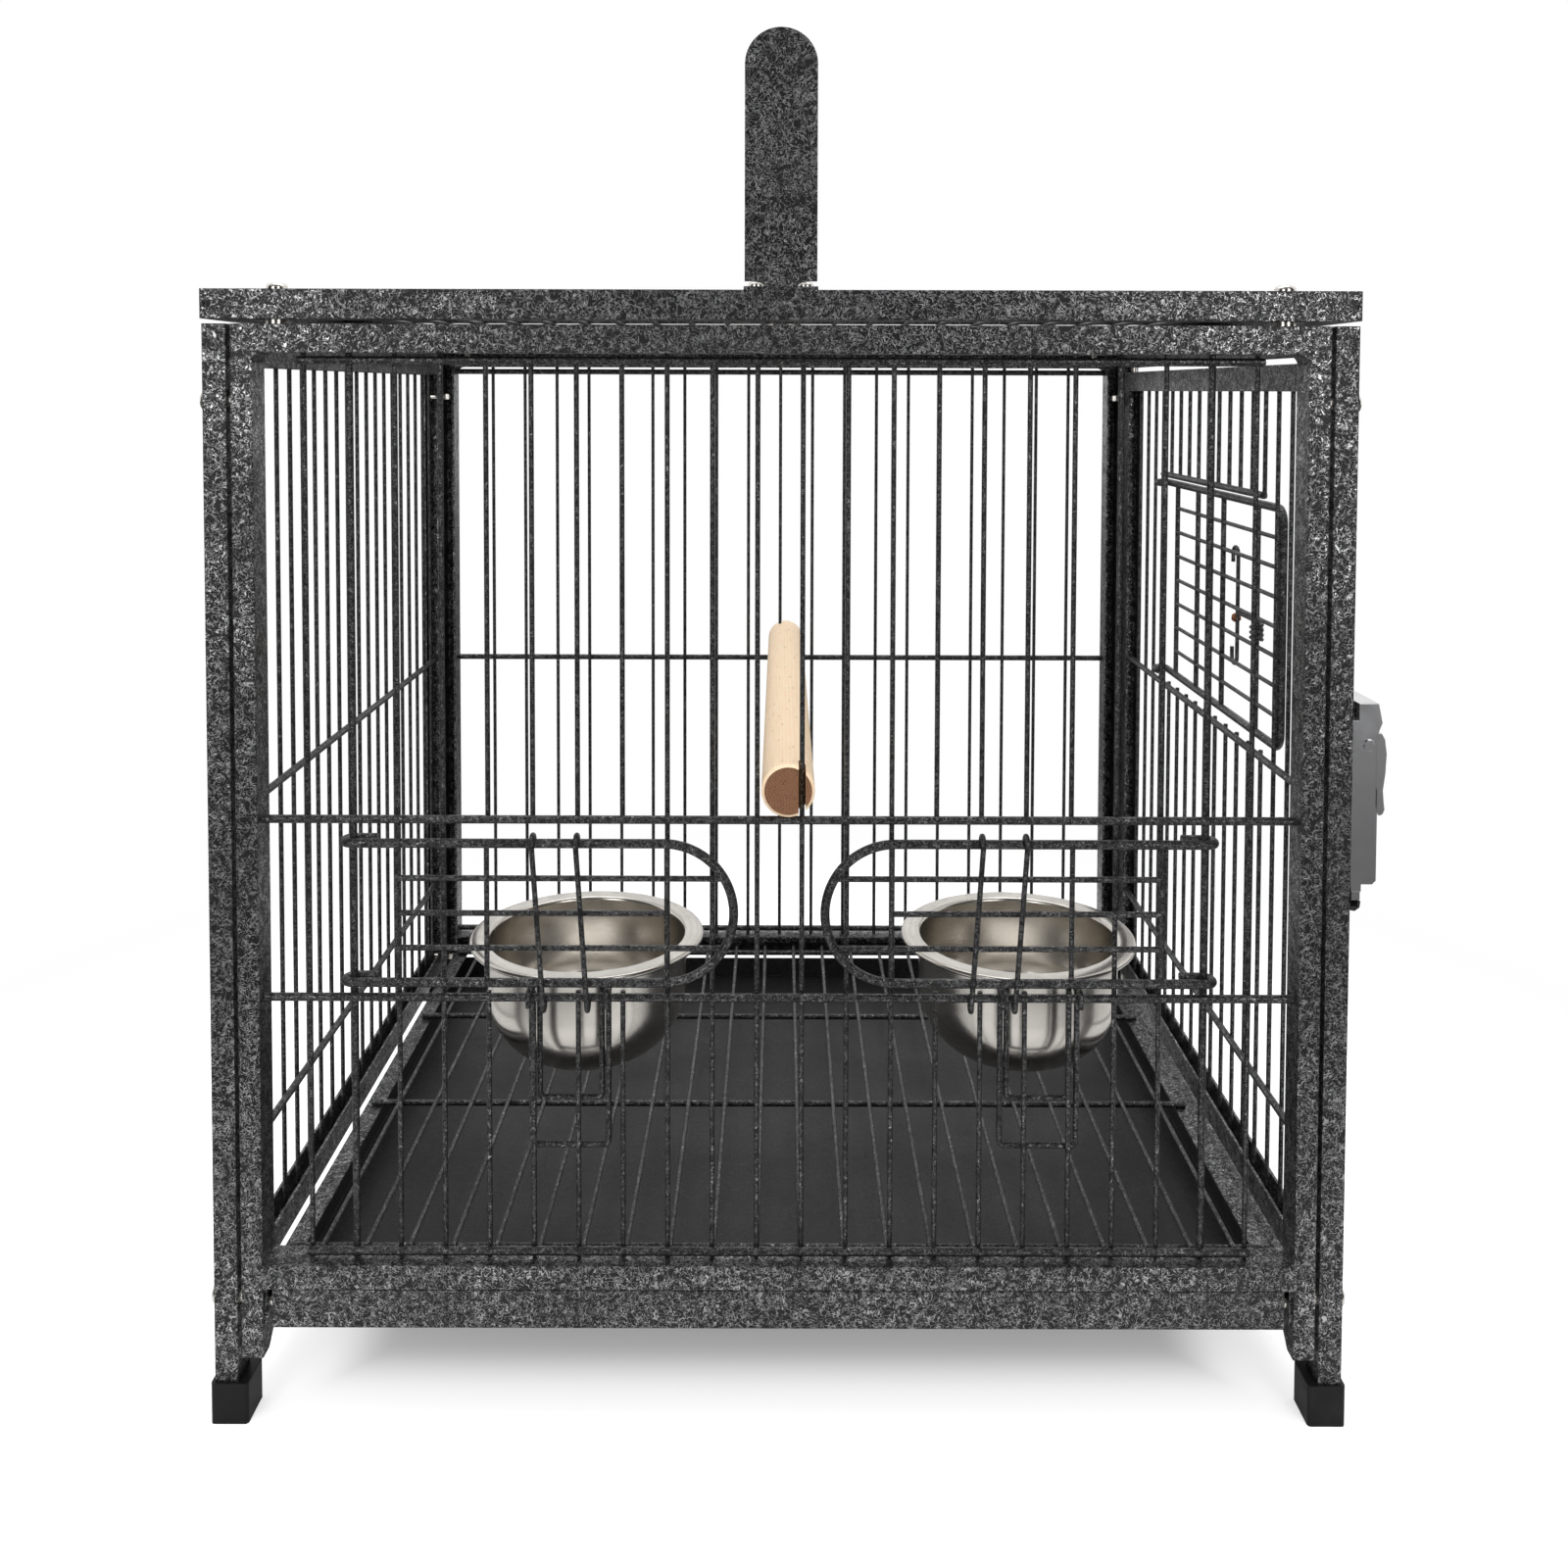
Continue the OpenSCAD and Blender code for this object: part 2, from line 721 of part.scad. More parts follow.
module roof_screws() {
    l = roof_top - panel_top + sheet_t + nut_t + 1;
    color(steel) at_roof_screws() translate([0, 0, roof_top]) screw(l, screw_d, head_d, head_h);
}

module side_screws() {
    l = side_face + panel_gap + sheet_t + nut_t + 1;
    color(steel) mirrored([1, 0, 0]) mirrored([0, 1, 0])
        at_side_screws() screw(l, screw_d, head_d, head_h);
}

module panel_spacers() {
    color(steel) {
        mirrored([1, 0, 0]) mirrored([0, 1, 0]) at_side_screws()
            translate([0, 0, -side_face - panel_gap]) ring(head_d / 2, hole_r, panel_gap);
        at_roof_screws() translate([0, 0, panel_top]) ring(head_d / 2, hole_r, roof_gap);
    }
}

module nut() {
    difference() {
        cylinder(h = nut_t, d = 7, $fn = 6);
        translate([0, 0, -1]) cylinder(h = nut_t + 2, r = screw_r + eps);
    }
}

module panel_nuts() {
    color(steel) {
        mirrored([1, 0, 0]) mirrored([0, 1, 0]) at_side_screws()
            translate([0, 0, -side_face - panel_gap - sheet_t - nut_t]) nut();
        at_roof_screws() translate([0, 0, panel_top - sheet_t - nut_t]) nut();
    }
}

// ---- Handle ----

module handle_plate() {
    top = roof_top + handle_h;
    color(coat) {
        translate([0, fy(plate_depth + plate_t / 2), 0]) rotate([90, 0, 0]) linear_extrude(plate_t) {
            translate([-plate_w / 2, roof_top + neck_h]) square([plate_w, handle_h - neck_h - plate_w / 2]);
            translate([0, top - plate_w / 2]) circle(plate_w / 2);
            translate([-neck_w / 2, roof_top]) square([neck_w, neck_h + eps]);
        }
        difference() {
            translate([-plate_w / 2, fy(1), roof_top])
                cube([plate_w, plate_depth + plate_t / 2 - 1, foot_t]);
            at_handle_screws() translate([0, 0, roof_top - 1]) cylinder(h = foot_t + 2, r = hole_r);
        }
    }
}

module handle_front_plate() handle_plate();
module handle_back_plate() mirror([0, 1, 0]) handle_plate();

tube_y = half_d - plate_depth - plate_t / 2;
tube_z = roof_top + handle_h - plate_w / 2;

module handle_tube() {
    color(coat) translate([0, tube_y, tube_z]) rotate([90, 0, 0])
        ring(tube_d / 2, tube_d / 2 - 1.5, 2 * tube_y);
}

module handle_grip() {
    color(plastic) translate([0, grip_l / 2, tube_z]) rotate([90, 0, 0]) difference() {
        rotate_extrude() {
            square([grip_d / 2 - 3, grip_l]);
            translate([0, 3]) square([grip_d / 2, grip_l - 6]);
            for (y = [3, grip_l - 3]) translate([grip_d / 2 - 3, y]) circle(3);
        }
        translate([0, 0, -1]) cylinder(h = grip_l + 2, d = tube_d);
    }
}

module handle_screws() {
    color(steel) mirrored([0, 1, 0]) at_handle_screws() translate([0, 0, roof_top + foot_t])
        screw(foot_t + sheet_t + 2.5, screw_d, head_d * 0.8, head_h * 0.8);
}

// ---- Floor ----

runner_screw_r = 1.5;
tray_half = post_inner - sheet_t - tray_play;
ledge_z = tray_z + 0.2;
tray_floor_z = ledge_z + sheet_t + 0.3;
runner_top = bottom_rail_z + 2;
runner_reach = half_d - channel_depth;
floor_rod_r = 1.5;

module tray_runner() {
    tab_top = bottom_rail_z - 0.3;
    difference() {
        union() {
            translate([post_inner - sheet_t, -half_d + 2, ledge_z])
                cube([sheet_t, cage_d - 4, tab_top - ledge_z]);
            translate([post_inner - sheet_t, -runner_reach, ledge_z])
                cube([sheet_t, 2 * runner_reach, runner_top - ledge_z]);
            translate([post_inner - ledge, -runner_reach, ledge_z])
                cube([ledge, 2 * runner_reach, sheet_t]);
            translate([post_inner - grille_ledge, -runner_reach, runner_top - sheet_t])
                cube([grille_ledge, 2 * runner_reach, sheet_t]);
        }
        mirrored([0, 1, 0]) runner_screw_place() translate([0, 0, -sheet_t - 1])
            cylinder(h = sheet_t + 2, r = runner_screw_r + screw_play);
    }
}

module tray_runners() {
    color(coat) mirrored([1, 0, 0]) tray_runner();
}

module runner_screws() {
    color(steel) mirrored([1, 0, 0]) mirrored([0, 1, 0]) runner_screw_place()
        translate([0, 0, -sheet_t]) rotate([180, 0, 0])
            screw(2 * sheet_t + 2, 2 * runner_screw_r, 5.6, 2);
}

module floor_grille() {
    rod_z = runner_top + floor_rod_r + 0.05;
    wire_z = rod_z + floor_rod_r + wire_r - weld;
    color(coat) {
        for (d = floor_rod_depths)
            level_rod(-post_inner + sheet_t + 2, post_inner - sheet_t - 2, fy(d), rod_z, 2 * floor_rod_r);
        for (x = row(floor_wires, front_pitch))
            deep_rod(x, fy(floor_rod_depths[0] - 4), fy(floor_rod_depths[3] + 4), wire_z, wire_d);
    }
}

module tray() {
    y0 = fy(0);
    y1 = by(tray_back);
    color(coat) {
        difference() {
            translate([-tray_half, y0, tray_floor_z])
                cube([2 * tray_half, y1 - y0, tray_wall + tray_t]);
            translate([-tray_half + tray_t, y0 + tray_t, tray_floor_z + tray_t])
                cube([2 * (tray_half - tray_t), y1 - y0 - 2 * tray_t, tray_wall + 1]);
        }
        difference() {
            translate([-tray_half, y0, tray_z])
                cube([2 * tray_half, sheet_t, bottom_rail_z - 0.3 - tray_z]);
            translate([-tray_half - 1, y0 + tray_t, tray_floor_z])
                cube([2 * tray_half + 2, sheet_t, 2 * tray_wall]);
        }
    }
}

// ---- Perch and cups ----

perch_z = middle_rod_z + rod_r + 0.3 + perch_d / 2;

module perch() {
    l = cage_d - 2 * perch_start;
    front_wire = front_x(front_wires / 2);
    color([0.87, 0.72, 0.53]) difference() {
        translate([perch_x, fy(perch_start), perch_z]) rotate([-90, 0, 0]) rotate_extrude()
            polygon([[0, 0], [perch_d / 2 - perch_chamfer, 0], [perch_d / 2, perch_chamfer],
                     [perch_d / 2, l - perch_chamfer], [perch_d / 2 - perch_chamfer, l], [0, l]]);
        translate([front_wire - kerf_w / 2, fy(perch_start) - 1, perch_z - perch_d])
            cube([kerf_w, kerf_l + 1, 2 * perch_d]);
        translate([-kerf_w / 2, by(perch_start) - kerf_l, perch_z - perch_d])
            cube([kerf_w, kerf_l + 1, 2 * perch_d]);
    }
}

rim_z = cup_rod_z + rim_over_rod;
hanger_r = hanger_d / 2;
ring_r = cup_r + 0.3 + hanger_r;
ring_z = rim_z - cup_t - 0.3 - hanger_r;
brace_depth = mesh_depth + wire_r + 0.4 + hanger_r;

module cup_section(r, h, round) {
    square([r - round, h]);
    translate([r - round, round]) circle(round);
    translate([0, round]) square([r, h - round]);
}

module cup() {
    roll_z = cup_h - roll_r;
    color(steel) translate([0, fy(cup_depth), rim_z - cup_h]) rotate_extrude($fn = 96) difference() {
        union() {
            intersection() {
                cup_section(cup_r, cup_h, cup_round);
                square([cup_r, cup_h]);
            }
            translate([cup_r - cup_t, cup_h - cup_t]) square([rim_r - roll_r - cup_r + cup_t, cup_t]);
            translate([rim_r - roll_r, roll_z]) circle(roll_r);
        }
        translate([0, cup_t]) intersection() {
            cup_section(cup_r - cup_t, cup_h + 1, cup_round - cup_t);
            square([cup_r, cup_h + 1]);
        }
    }
}

module left_cup() translate([-left_cup_x, 0, 0]) cup();
module right_cup() translate([right_cup_x, 0, 0]) cup();

// A ring under the rim, a long loop that hooks over the cup rod and a short loop behind it
module cup_hanger() {
    hook = rod_r + 0.3 + hanger_r;
    y = fy(brace_depth);
    y_ring = fy(cup_depth) - sqrt(ring_r * ring_r - hanger_w * hanger_w / 4);
    y_hook = fy(rod_depth) - hook;
    z_over = cup_rod_z + rod_r + 0.1 + hanger_r;
    x = hanger_w / 2;
    z_tip = cup_rod_z - 3;
    z_long = cup_rod_z - long_loop;
    z_short = cup_rod_z - short_loop;
    x_short = x - 3;
    y_short = y + hanger_d - 0.3;
    z_arm = ring_z - hanger_d * 0.83;
    color(coat) {
        translate([0, fy(cup_depth), ring_z]) rotate_extrude($fn = 96)
            translate([ring_r, 0]) circle(hanger_r);
        wire([[-x, y_hook, z_tip], [-x, y_hook, z_over], [-x, y, z_over], [-x, y, z_long],
              [x, y, z_long], [x, y, z_over], [x, y_hook, z_over], [x, y_hook, z_tip]],
            hanger_d, hanger_d);
        for (s = [-1, 1]) rod([s * x, y, z_arm], [s * x, y_ring, z_arm], hanger_d * 0.9);
        wire([[-x_short, y_short, z_arm], [-x_short, y_short, z_short],
              [x_short, y_short, z_short], [x_short, y_short, z_arm]], hanger_d, hanger_d);
        for (s = [-1, 1])
            rod([s * x_short, y_short, z_arm],
                [s * x_short, fy(cup_depth) - sqrt(ring_r * ring_r - x_short * x_short), z_arm],
                hanger_d * 0.9);
    }
}

module left_cup_hanger() translate([-left_cup_x, 0, 0]) cup_hanger();
module right_cup_hanger() translate([right_cup_x, 0, 0]) cup_hanger();

// ---- Feeder doors ----

feeder_r = feeder_d / 2;
loop_r = hinge_wire_d / 2 + loop_play + feeder_r;
feeder_y = fy(mesh_depth) - loop_r;
feeder_z0 = cup_rod_z + feeder_lift;
feeder_z1 = feeder_z0 + feeder_h;

// Right-hand door, with its hinge wire at x = 0 and the door towards -X
module feeder_door() {
    y = feeder_y;
    back = fy(mesh_depth) + loop_r;
    end_r = feeder_h / 2;
    x_bend = -feeder_l + end_r;
    color(coat) {
        for (z = [feeder_z0, feeder_z1])
            wire([[-loop_tail, back, z], [loop_r, back, z], [loop_r, y, z], [x_bend, y, z]],
                feeder_d, loop_r);
        translate([x_bend, y, feeder_z0 + end_r]) rotate([90, 0, 0]) rotate([0, 0, 90])
            rotate_extrude(angle = 180) translate([end_r, 0]) circle(feeder_r);
        for (i = [1, 3]) rod([-i * front_pitch, y, feeder_z0], [-i * front_pitch, y, feeder_z1],
            feeder_wire_d * 0.9);
        rod([-7 * front_pitch, y, feeder_z0], [-7 * front_pitch, y, feeder_z1], feeder_wire_d * 0.9);
        for (f = [-1, 1]) {
            dz = f * feeder_h / 4;
            rod([-front_pitch, y, feeder_z0 + end_r + dz],
                [x_bend - sqrt(end_r * end_r - dz * dz), y, feeder_z0 + end_r + dz], feeder_wire_d);
        }
        rod([-front_pitch, y, feeder_z0 + end_r], [-7 * front_pitch, y, feeder_z0 + end_r],
            feeder_wire_d);
    }
}

// Hook that hangs on the upper bar of the right-hand door, with its top at x = -top
module feeder_hook(top) {
    r = feeder_r + hook_play + hook_d / 2;
    curl = 2.2;
    y = feeder_y - r;
    z_end = cup_rod_z - rod_r - 0.4;
    x1 = -top - hook_lean;
    color(coat) {
        translate([-top, feeder_y, feeder_z1]) rotate([90, 0, 90]) rotate([0, 0, -45])
            rotate_extrude(angle = 225) translate([r, 0]) circle(d = hook_d);
        rod([-top, y, feeder_z1], [x1, y, z_end], hook_d);
        translate([x1, y + curl, z_end]) rotate([90, 0, 90]) rotate([0, 0, 180])
            rotate_extrude(angle = 180) translate([curl, 0]) circle(d = hook_d);
        translate([x1, y, z_end]) sphere(d = hook_d + 0.1);
        translate([-top, y, feeder_z1]) sphere(d = hook_d + 0.1);
    }
}

module on_right() translate([feeder_hinge_x, 0, 0]) children();

module right_feeder_door() on_right() feeder_door();
module left_feeder_door() mirror([1, 0, 0]) on_right() feeder_door();
module right_outer_hook() on_right() feeder_hook(hook_tops[0]);
module right_inner_hook() on_right() feeder_hook(hook_tops[1]);
module left_outer_hook() mirror([1, 0, 0]) on_right() feeder_hook(hook_tops[0]);
module left_inner_hook() mirror([1, 0, 0]) on_right() feeder_hook(hook_tops[1]);

// ---- Side door ----

door_y0 = fy(door_start);
door_y1 = door_axis_y + door_heel;
door_outer = mesh_x + door_t / 2;
door_wire_y0 = door_y0 + door_face + door_first_gap;
door_pitch = (door_y1 - door_face - door_last_gap - door_wire_y0) / (door_wires - 1);
door_rod_x = mesh_x - wire_r - rod_r + weld;

function door_y(i) = door_wire_y0 + i * door_pitch;

module door_stiles() {
    l = door_z1 - door_z0;
    color(coat) {
        translate([door_outer, door_y0, door_z0]) rotate([0, 0, 90])
            edge_channel(l, door_t, door_face, door_face, door_face);
        translate([door_outer, door_y1, door_z0]) mirror([0, 1, 0]) rotate([0, 0, 90])
            edge_channel(l, door_t, door_face, door_face, door_face);
    }
}

module door_rail() {
    l = door_y1 - door_y0;
    translate([door_outer, door_y0, door_z1]) rotate([0, 90, 90])
        edge_channel(l, door_t, door_face, door_face, door_face);
}

module door_rails() {
    color(coat) {
        door_rail();
        translate([0, 0, door_z0 + door_z1]) mirror([0, 0, 1]) door_rail();
    }
}

module door_uprights(first, last, z0, z1) {
    for (i = [first:last]) translate([mesh_x, door_y(i), z0])
        cylinder(h = z1 - z0, d = i == access_hinge ? access_pin_d : wire_d);
}

door_web_z0 = door_z0 + sheet_t;
door_web_z1 = door_z1 - sheet_t;
access_cut_z0 = door_rod_z + rod_r + eps;
access_cut_z1 = access_rod_z - rod_r - eps;

module door_mesh_top() {
    color(coat) {
        door_uprights(0, door_wires - 1, access_cut_z1, door_web_z1);
        deep_rod(door_rod_x, door_y(access_first) - 6, door_y(access_hinge - 1) + 9, access_rod_z, rod_d);
    }
}

module door_mesh_bottom() {
    color(coat) {
        door_uprights(0, door_wires - 1, door_web_z0, access_cut_z0);
        for (z = [low_rod_z, door_rod_z])
            deep_rod(door_rod_x, door_y0 + door_face, door_y1 - door_face, z, rod_d);
    }
}

module door_mesh_front() {
    color(coat) door_uprights(0, access_first - 1, access_cut_z0, access_cut_z1);
}

module door_mesh_back() {
    color(coat) door_uprights(access_hinge, door_wires - 1, access_cut_z0, access_cut_z1);
}

module door_hinge_pins() {
    color(steel) translate([door_axis_x, door_axis_y, 0]) {
        translate([0, 0, door_z1]) cylinder(h = panel_top - 0.5 - door_z1, d = pin_d);
        translate([0, 0, sill_top - 4]) cylinder(h = door_z0 - sill_top + 4, d = pin_d);
        translate([0, 0, sill_top + 0.3]) cylinder(h = door_z0 - sill_top - 0.3, d = pin_d + 4);
    }
}

// ---- Access door ----

access_r = access_d / 2;
access_loop = access_pin_d / 2 + loop_play + access_r;
access_x = mesh_x + access_loop;
access_y1 = door_y(access_hinge);
access_y0 = door_y(access_first - 1) + access_overlap;

module access_door() {
    behind = mesh_x - access_loop;
    row_gap = (access_z1 - access_z0) / (access_rows + 1);
    far = access_y1 - access_uprights[3];
    color(coat) {
        wire([[behind, access_y1 - 6, access_z0], [behind, access_y1 + access_loop, access_z0],
              [access_x, access_y1 + access_loop, access_z0], [access_x, access_y0, access_z0],
              [access_x, access_y0, access_z1], [access_x, access_y1 + access_loop, access_z1],
              [behind, access_y1 + access_loop, access_z1], [behind, access_y1 - 6, access_z1]],
            access_d, [0, access_loop, access_loop, access_bend, access_bend, access_loop,
                       access_loop, 0]);
        for (i = [1:access_rows]) rod([access_x, access_y0, access_z0 + i * row_gap],
            [access_x, far, access_z0 + i * row_gap], wire_d);
        for (d = access_uprights) rod([access_x, access_y1 - d, access_z0],
            [access_x, access_y1 - d, access_z1], upright_d);
    }
}

// ---- Latch of the access door ----

upright_d = wire_d + 0.6;
coil_r = upright_d / 2 + 0.35 + bolt_d / 2;
coil_pitch = bolt_d + coil_gap;
coil_y = access_y1 - access_uprights[0];
coil_top = coil_z0 + coil_turns * coil_pitch;

// Points on one ring of the coil
function coil_ring(t) = let (a = 360 * t, u = [cos(a), sin(a), 0])
    [for (k = [0:5]) coil_r * u + [0, 0, coil_pitch * t]
        + bolt_d / 2 * (u * cos(60 * k) + [0, 0, 1] * sin(60 * k))];

function lowest(ring) = min([for (p = ring) p[2]]);
function highest(ring) = max([for (p = ring) p[2]]);

// An upright wire with a hook at each end, and an arm to the coil that it turns on
module access_latch() {
    x = access_x + coil_r;
    y = coil_y + bolt_arm;
    color(coat) {
        wire([[x, y + bolt_loop, bolt_z1 - 8], [x, y + bolt_loop, bolt_z1], [x, y, bolt_z1],
              [x, y, bolt_z0], [x, y + bolt_loop, bolt_z0], [x, y + bolt_loop, bolt_z0 + 8]],
            bolt_d, bolt_loop / 2);
        rod([x, coil_y + 0.05, coil_top], [x, y, coil_top], bolt_d * 0.94);
        translate([x, y + braze_d * 0.4, coil_top - 3]) sphere(d = braze_d);
    }
}

module access_coil() {
    steps = 8;
    n = coil_turns * steps;
    points = [for (i = [0:n]) each coil_ring(i / steps)];
    sides = [for (i = [0:n - 1], k = [0:5]) let (a = 6 * i + k, b = 6 * i + (k + 1) % 6)
        each [[a, b, a + 6], [b, b + 6, a + 6]]];
    caps = [for (k = [1:4]) each [[0, k + 1, k], [6 * n, 6 * n + k, 6 * n + k + 1]]];
    echo("least gap of the coil to itself", lowest(coil_ring(1)) - highest(coil_ring(0)));
    color(coat) translate([access_x, coil_y, coil_z0])
        polyhedron(points, concat(sides, caps), convexity = 10);
}

// ---- Toggle latch ----

latch_y0 = fy(latch_depth);
latch_y1 = latch_y0 + latch_w;
latch_x = half_w + 0.6;
latch_bottom = latch_top - latch_l;
cheek_x = latch_x + latch_t;
pivot_x = latch_x + 7.1;
cap_z = latch_top - 8;
lever_bottom = latch_top - lever_l;
pivot_z = latch_top - pivot_drop;
keeper_top = latch_bottom - tongue_l - tongue_gap;

module across(y0, y1) translate([0, y1, 0]) rotate([90, 0, 0]) linear_extrude(y1 - y0) children();

// Folded channel with two cheeks and a hood, riveted to the front stile of the side door
module latch_base() {
    hole = [latch_x + latch_sheet, latch_bottom - 1];
    color(steel) difference() {
        across(latch_y0, latch_y1) polygon([
            [latch_x, latch_bottom + 3], [latch_x + 0.6, latch_bottom - 3], [latch_x + 4.6, latch_bottom - 3],
            [latch_x + 4.6, latch_bottom], [cheek_x - 1.5, latch_bottom], [cheek_x, latch_bottom + 1.5],
            [cheek_x, lever_bottom + 2.5], [cheek_x - 0.6, lever_bottom + 4.5], [cheek_x - 0.6, pivot_z + 1],
            [cheek_x + 0.4, pivot_z + 6], [cheek_x + 1.6, cap_z], [cheek_x, latch_top],
            [latch_x + 2.7, latch_top], [latch_x + 2.7, cap_z + 1], [latch_x + 0.4, cap_z + 1],
            [latch_x, cap_z + 0.6]]);
        difference() {
            across(latch_y0 + latch_sheet, latch_y1 - latch_sheet) polygon([
                [latch_x + latch_sheet, latch_bottom - 4], [cheek_x + 5, latch_bottom - 4],
                [cheek_x + 5, cap_z], [cheek_x - latch_sheet, latch_top - latch_sheet],
                [latch_x + 2.7 + latch_sheet, latch_top - latch_sheet],
                [latch_x + 2.7 + latch_sheet, cap_z], [latch_x + latch_sheet, cap_z]]);
            // folded lip across the lower end of the channel
            across(latch_y0, latch_y1) polygon([
                [cheek_x - 4.4, latch_bottom + 0.4], [cheek_x - 1.4, latch_bottom + 0.4],
                [cheek_x - 0.7, latch_bottom + 1.4], [cheek_x - 0.7, latch_bottom + 3.4],
                [cheek_x - 1.7, latch_bottom + 3.4], [cheek_x - 1.7, latch_bottom + 1.4],
                [cheek_x - 4.4, latch_bottom + 1.4]]);
        }
        translate([pivot_x, latch_y0 - 1, pivot_z]) rotate([-90, 0, 0])
            cylinder(h = latch_w + 2, d = pivot_d + 2 * pin_play);
        for (z = rivet_zs) translate([latch_x - 1, rivet_y, z]) rotate([0, 90, 0])
            cylinder(h = 5, r = rivet_r + screw_play);
    }
}

rivet_r = 1.5;
rivet_y = door_y0 + door_face / 2;
rivet_zs = [latch_bottom + 14.5, pivot_z - 15];

module latch_rivets() {
    color(steel) for (z = rivet_zs) translate([door_outer, rivet_y, z]) rotate([0, 90, 0]) {
        cylinder(h = latch_x + latch_sheet - door_outer, r = rivet_r);
        translate([0, 0, latch_x + latch_sheet - door_outer]) cylinder(h = 1, r1 = rivet_r + 1, r2 = rivet_r);
    }
}

// Lever: a curved cover on two ears, with a curled finger edge
module latch_lever() {
    color(steel) difference() {
        across(latch_y0 + latch_sheet + 0.3, latch_y1 - latch_sheet - 0.3) polygon([
            [pivot_x - 3.6, pivot_z + 1], [pivot_x - 3, pivot_z + 3.4], [pivot_x, pivot_z + 4.5],
            [cheek_x + 1.9, pivot_z + 4.5], [cheek_x + 3.3, pivot_z + 2], [cheek_x + 4.1, pivot_z - 4],
            [cheek_x + 3.7, pivot_z - 12], [cheek_x + 2.8, lever_bottom + 10.5],
            [cheek_x + 3.2, lever_bottom + 5.5], [cheek_x + 3.6, lever_bottom + 2.5],
            [cheek_x + 2.8, lever_bottom + 0.6], [cheek_x + 1.4, lever_bottom],
            [cheek_x + 0.4, lever_bottom + 1.4], [cheek_x + 0.4, lever_bottom + 10.5],
            [pivot_x - 1, pivot_z - 4.5], [pivot_x - 3.6, pivot_z - 2]]);
        translate([pivot_x, latch_y0 - 1, pivot_z]) rotate([-90, 0, 0])
            cylinder(h = latch_w + 2, d = pivot_d + 2 * pin_play);
        across(latch_y0 + 2.6, latch_y1 - 2.6) polygon([
            [pivot_x - 5, pivot_z + 3.2], [cheek_x + 1.4, pivot_z + 3.2], [cheek_x + 2.8, pivot_z - 4],
            [cheek_x + 2.4, pivot_z - 12], [cheek_x + 1.6, lever_bottom + 10.5],
            [cheek_x + 1.6, lever_bottom + 5.5], [pivot_x - 5, lever_bottom + 5.5]]);
    }
}

module latch_tongue() {
    x = latch_x + latch_sheet + 0.4;
    y0 = latch_y0 + latch_sheet + 0.4;
    color(steel) across(y0, fy(side_depth) - 1) polygon([
        [x, latch_bottom - tongue_l], [x + 3.4, latch_bottom - tongue_l], [x + 3.4, latch_bottom + 6],
        [x + 2, latch_bottom + 8], [x + 2, latch_bottom + 20], [x, latch_bottom + 20]]);
}

module latch_pin() {
    color(steel) translate([pivot_x, latch_y0 - 0.8, pivot_z]) rotate([-90, 0, 0]) {
        cylinder(h = latch_w + 1.6, d = pivot_d);
        cylinder(h = 0.7, d = pivot_d + 1.6);
        translate([0, 0, latch_w + 0.9]) cylinder(h = 0.7, d = pivot_d + 1.6);
    }
}

// Upturned hook on the front post, under the tongue
module latch_keeper() {
    x = latch_x + latch_sheet + 0.4;
    color(plastic) across(fy(3), fy(side_depth) - 1) polygon([
        [half_w, keeper_top + 4], [half_w + 0.5, keeper_top + 3.6], [half_w + 1, keeper_top - 2],
        [x + 2.2, keeper_top - 2.2], [x + 2.4, keeper_top], [x + 3.6, keeper_top],
        [x + 3.2, keeper_top - 2.6], [x + 1.2, keeper_top - 4], [half_w, keeper_top - 3.4]]);
}

front_posts();
front_rails();
front_mesh_top();
front_mesh_bottom();
front_mesh_left();
front_mesh_middle();
front_mesh_right();
back_posts();
back_rails();
back_mesh();
left_posts();
left_rails();
left_mesh();
right_posts();
right_rails();
roof_long_rails();
roof_end_rails();
roof_mesh();
foot_caps();
roof_screws();
side_screws();
panel_spacers();
panel_nuts();
handle_front_plate();
handle_back_plate();
handle_tube();
handle_grip();
handle_screws();
tray_runners();
runner_screws();
floor_grille();
left_cup_hanger();
right_cup_hanger();
latch_keeper();
tray();
perch();
left_cup();
right_cup();
left_feeder_door();
right_feeder_door();
left_outer_hook();
left_inner_hook();
right_outer_hook();
right_inner_hook();
door_stiles();
door_rails();
door_mesh_top();
door_mesh_bottom();
door_mesh_front();
door_mesh_back();
door_hinge_pins();
access_door();
access_latch();
access_coil();
latch_base();
latch_rivets();
latch_lever();
latch_tongue();
latch_pin();
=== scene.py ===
from math import cos, pi, radians, sin, sqrt

import bmesh
import bpy
from mathutils import Matrix, Vector


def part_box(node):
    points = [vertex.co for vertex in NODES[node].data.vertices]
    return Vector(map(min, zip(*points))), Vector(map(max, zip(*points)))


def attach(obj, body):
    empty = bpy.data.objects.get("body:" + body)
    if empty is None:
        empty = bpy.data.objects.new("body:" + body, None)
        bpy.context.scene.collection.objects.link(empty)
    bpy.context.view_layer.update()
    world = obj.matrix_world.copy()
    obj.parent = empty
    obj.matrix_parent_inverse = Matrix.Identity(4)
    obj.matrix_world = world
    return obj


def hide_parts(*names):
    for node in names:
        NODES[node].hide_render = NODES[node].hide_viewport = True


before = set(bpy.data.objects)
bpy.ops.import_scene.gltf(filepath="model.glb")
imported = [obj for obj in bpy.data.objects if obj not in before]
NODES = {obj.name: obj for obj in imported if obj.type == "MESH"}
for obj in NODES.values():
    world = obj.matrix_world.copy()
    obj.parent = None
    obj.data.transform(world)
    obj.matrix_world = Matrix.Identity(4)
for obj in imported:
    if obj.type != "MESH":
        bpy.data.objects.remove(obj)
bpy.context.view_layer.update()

MM = 0.001


# ---- Finishes -------------------------------------------------------------------------------

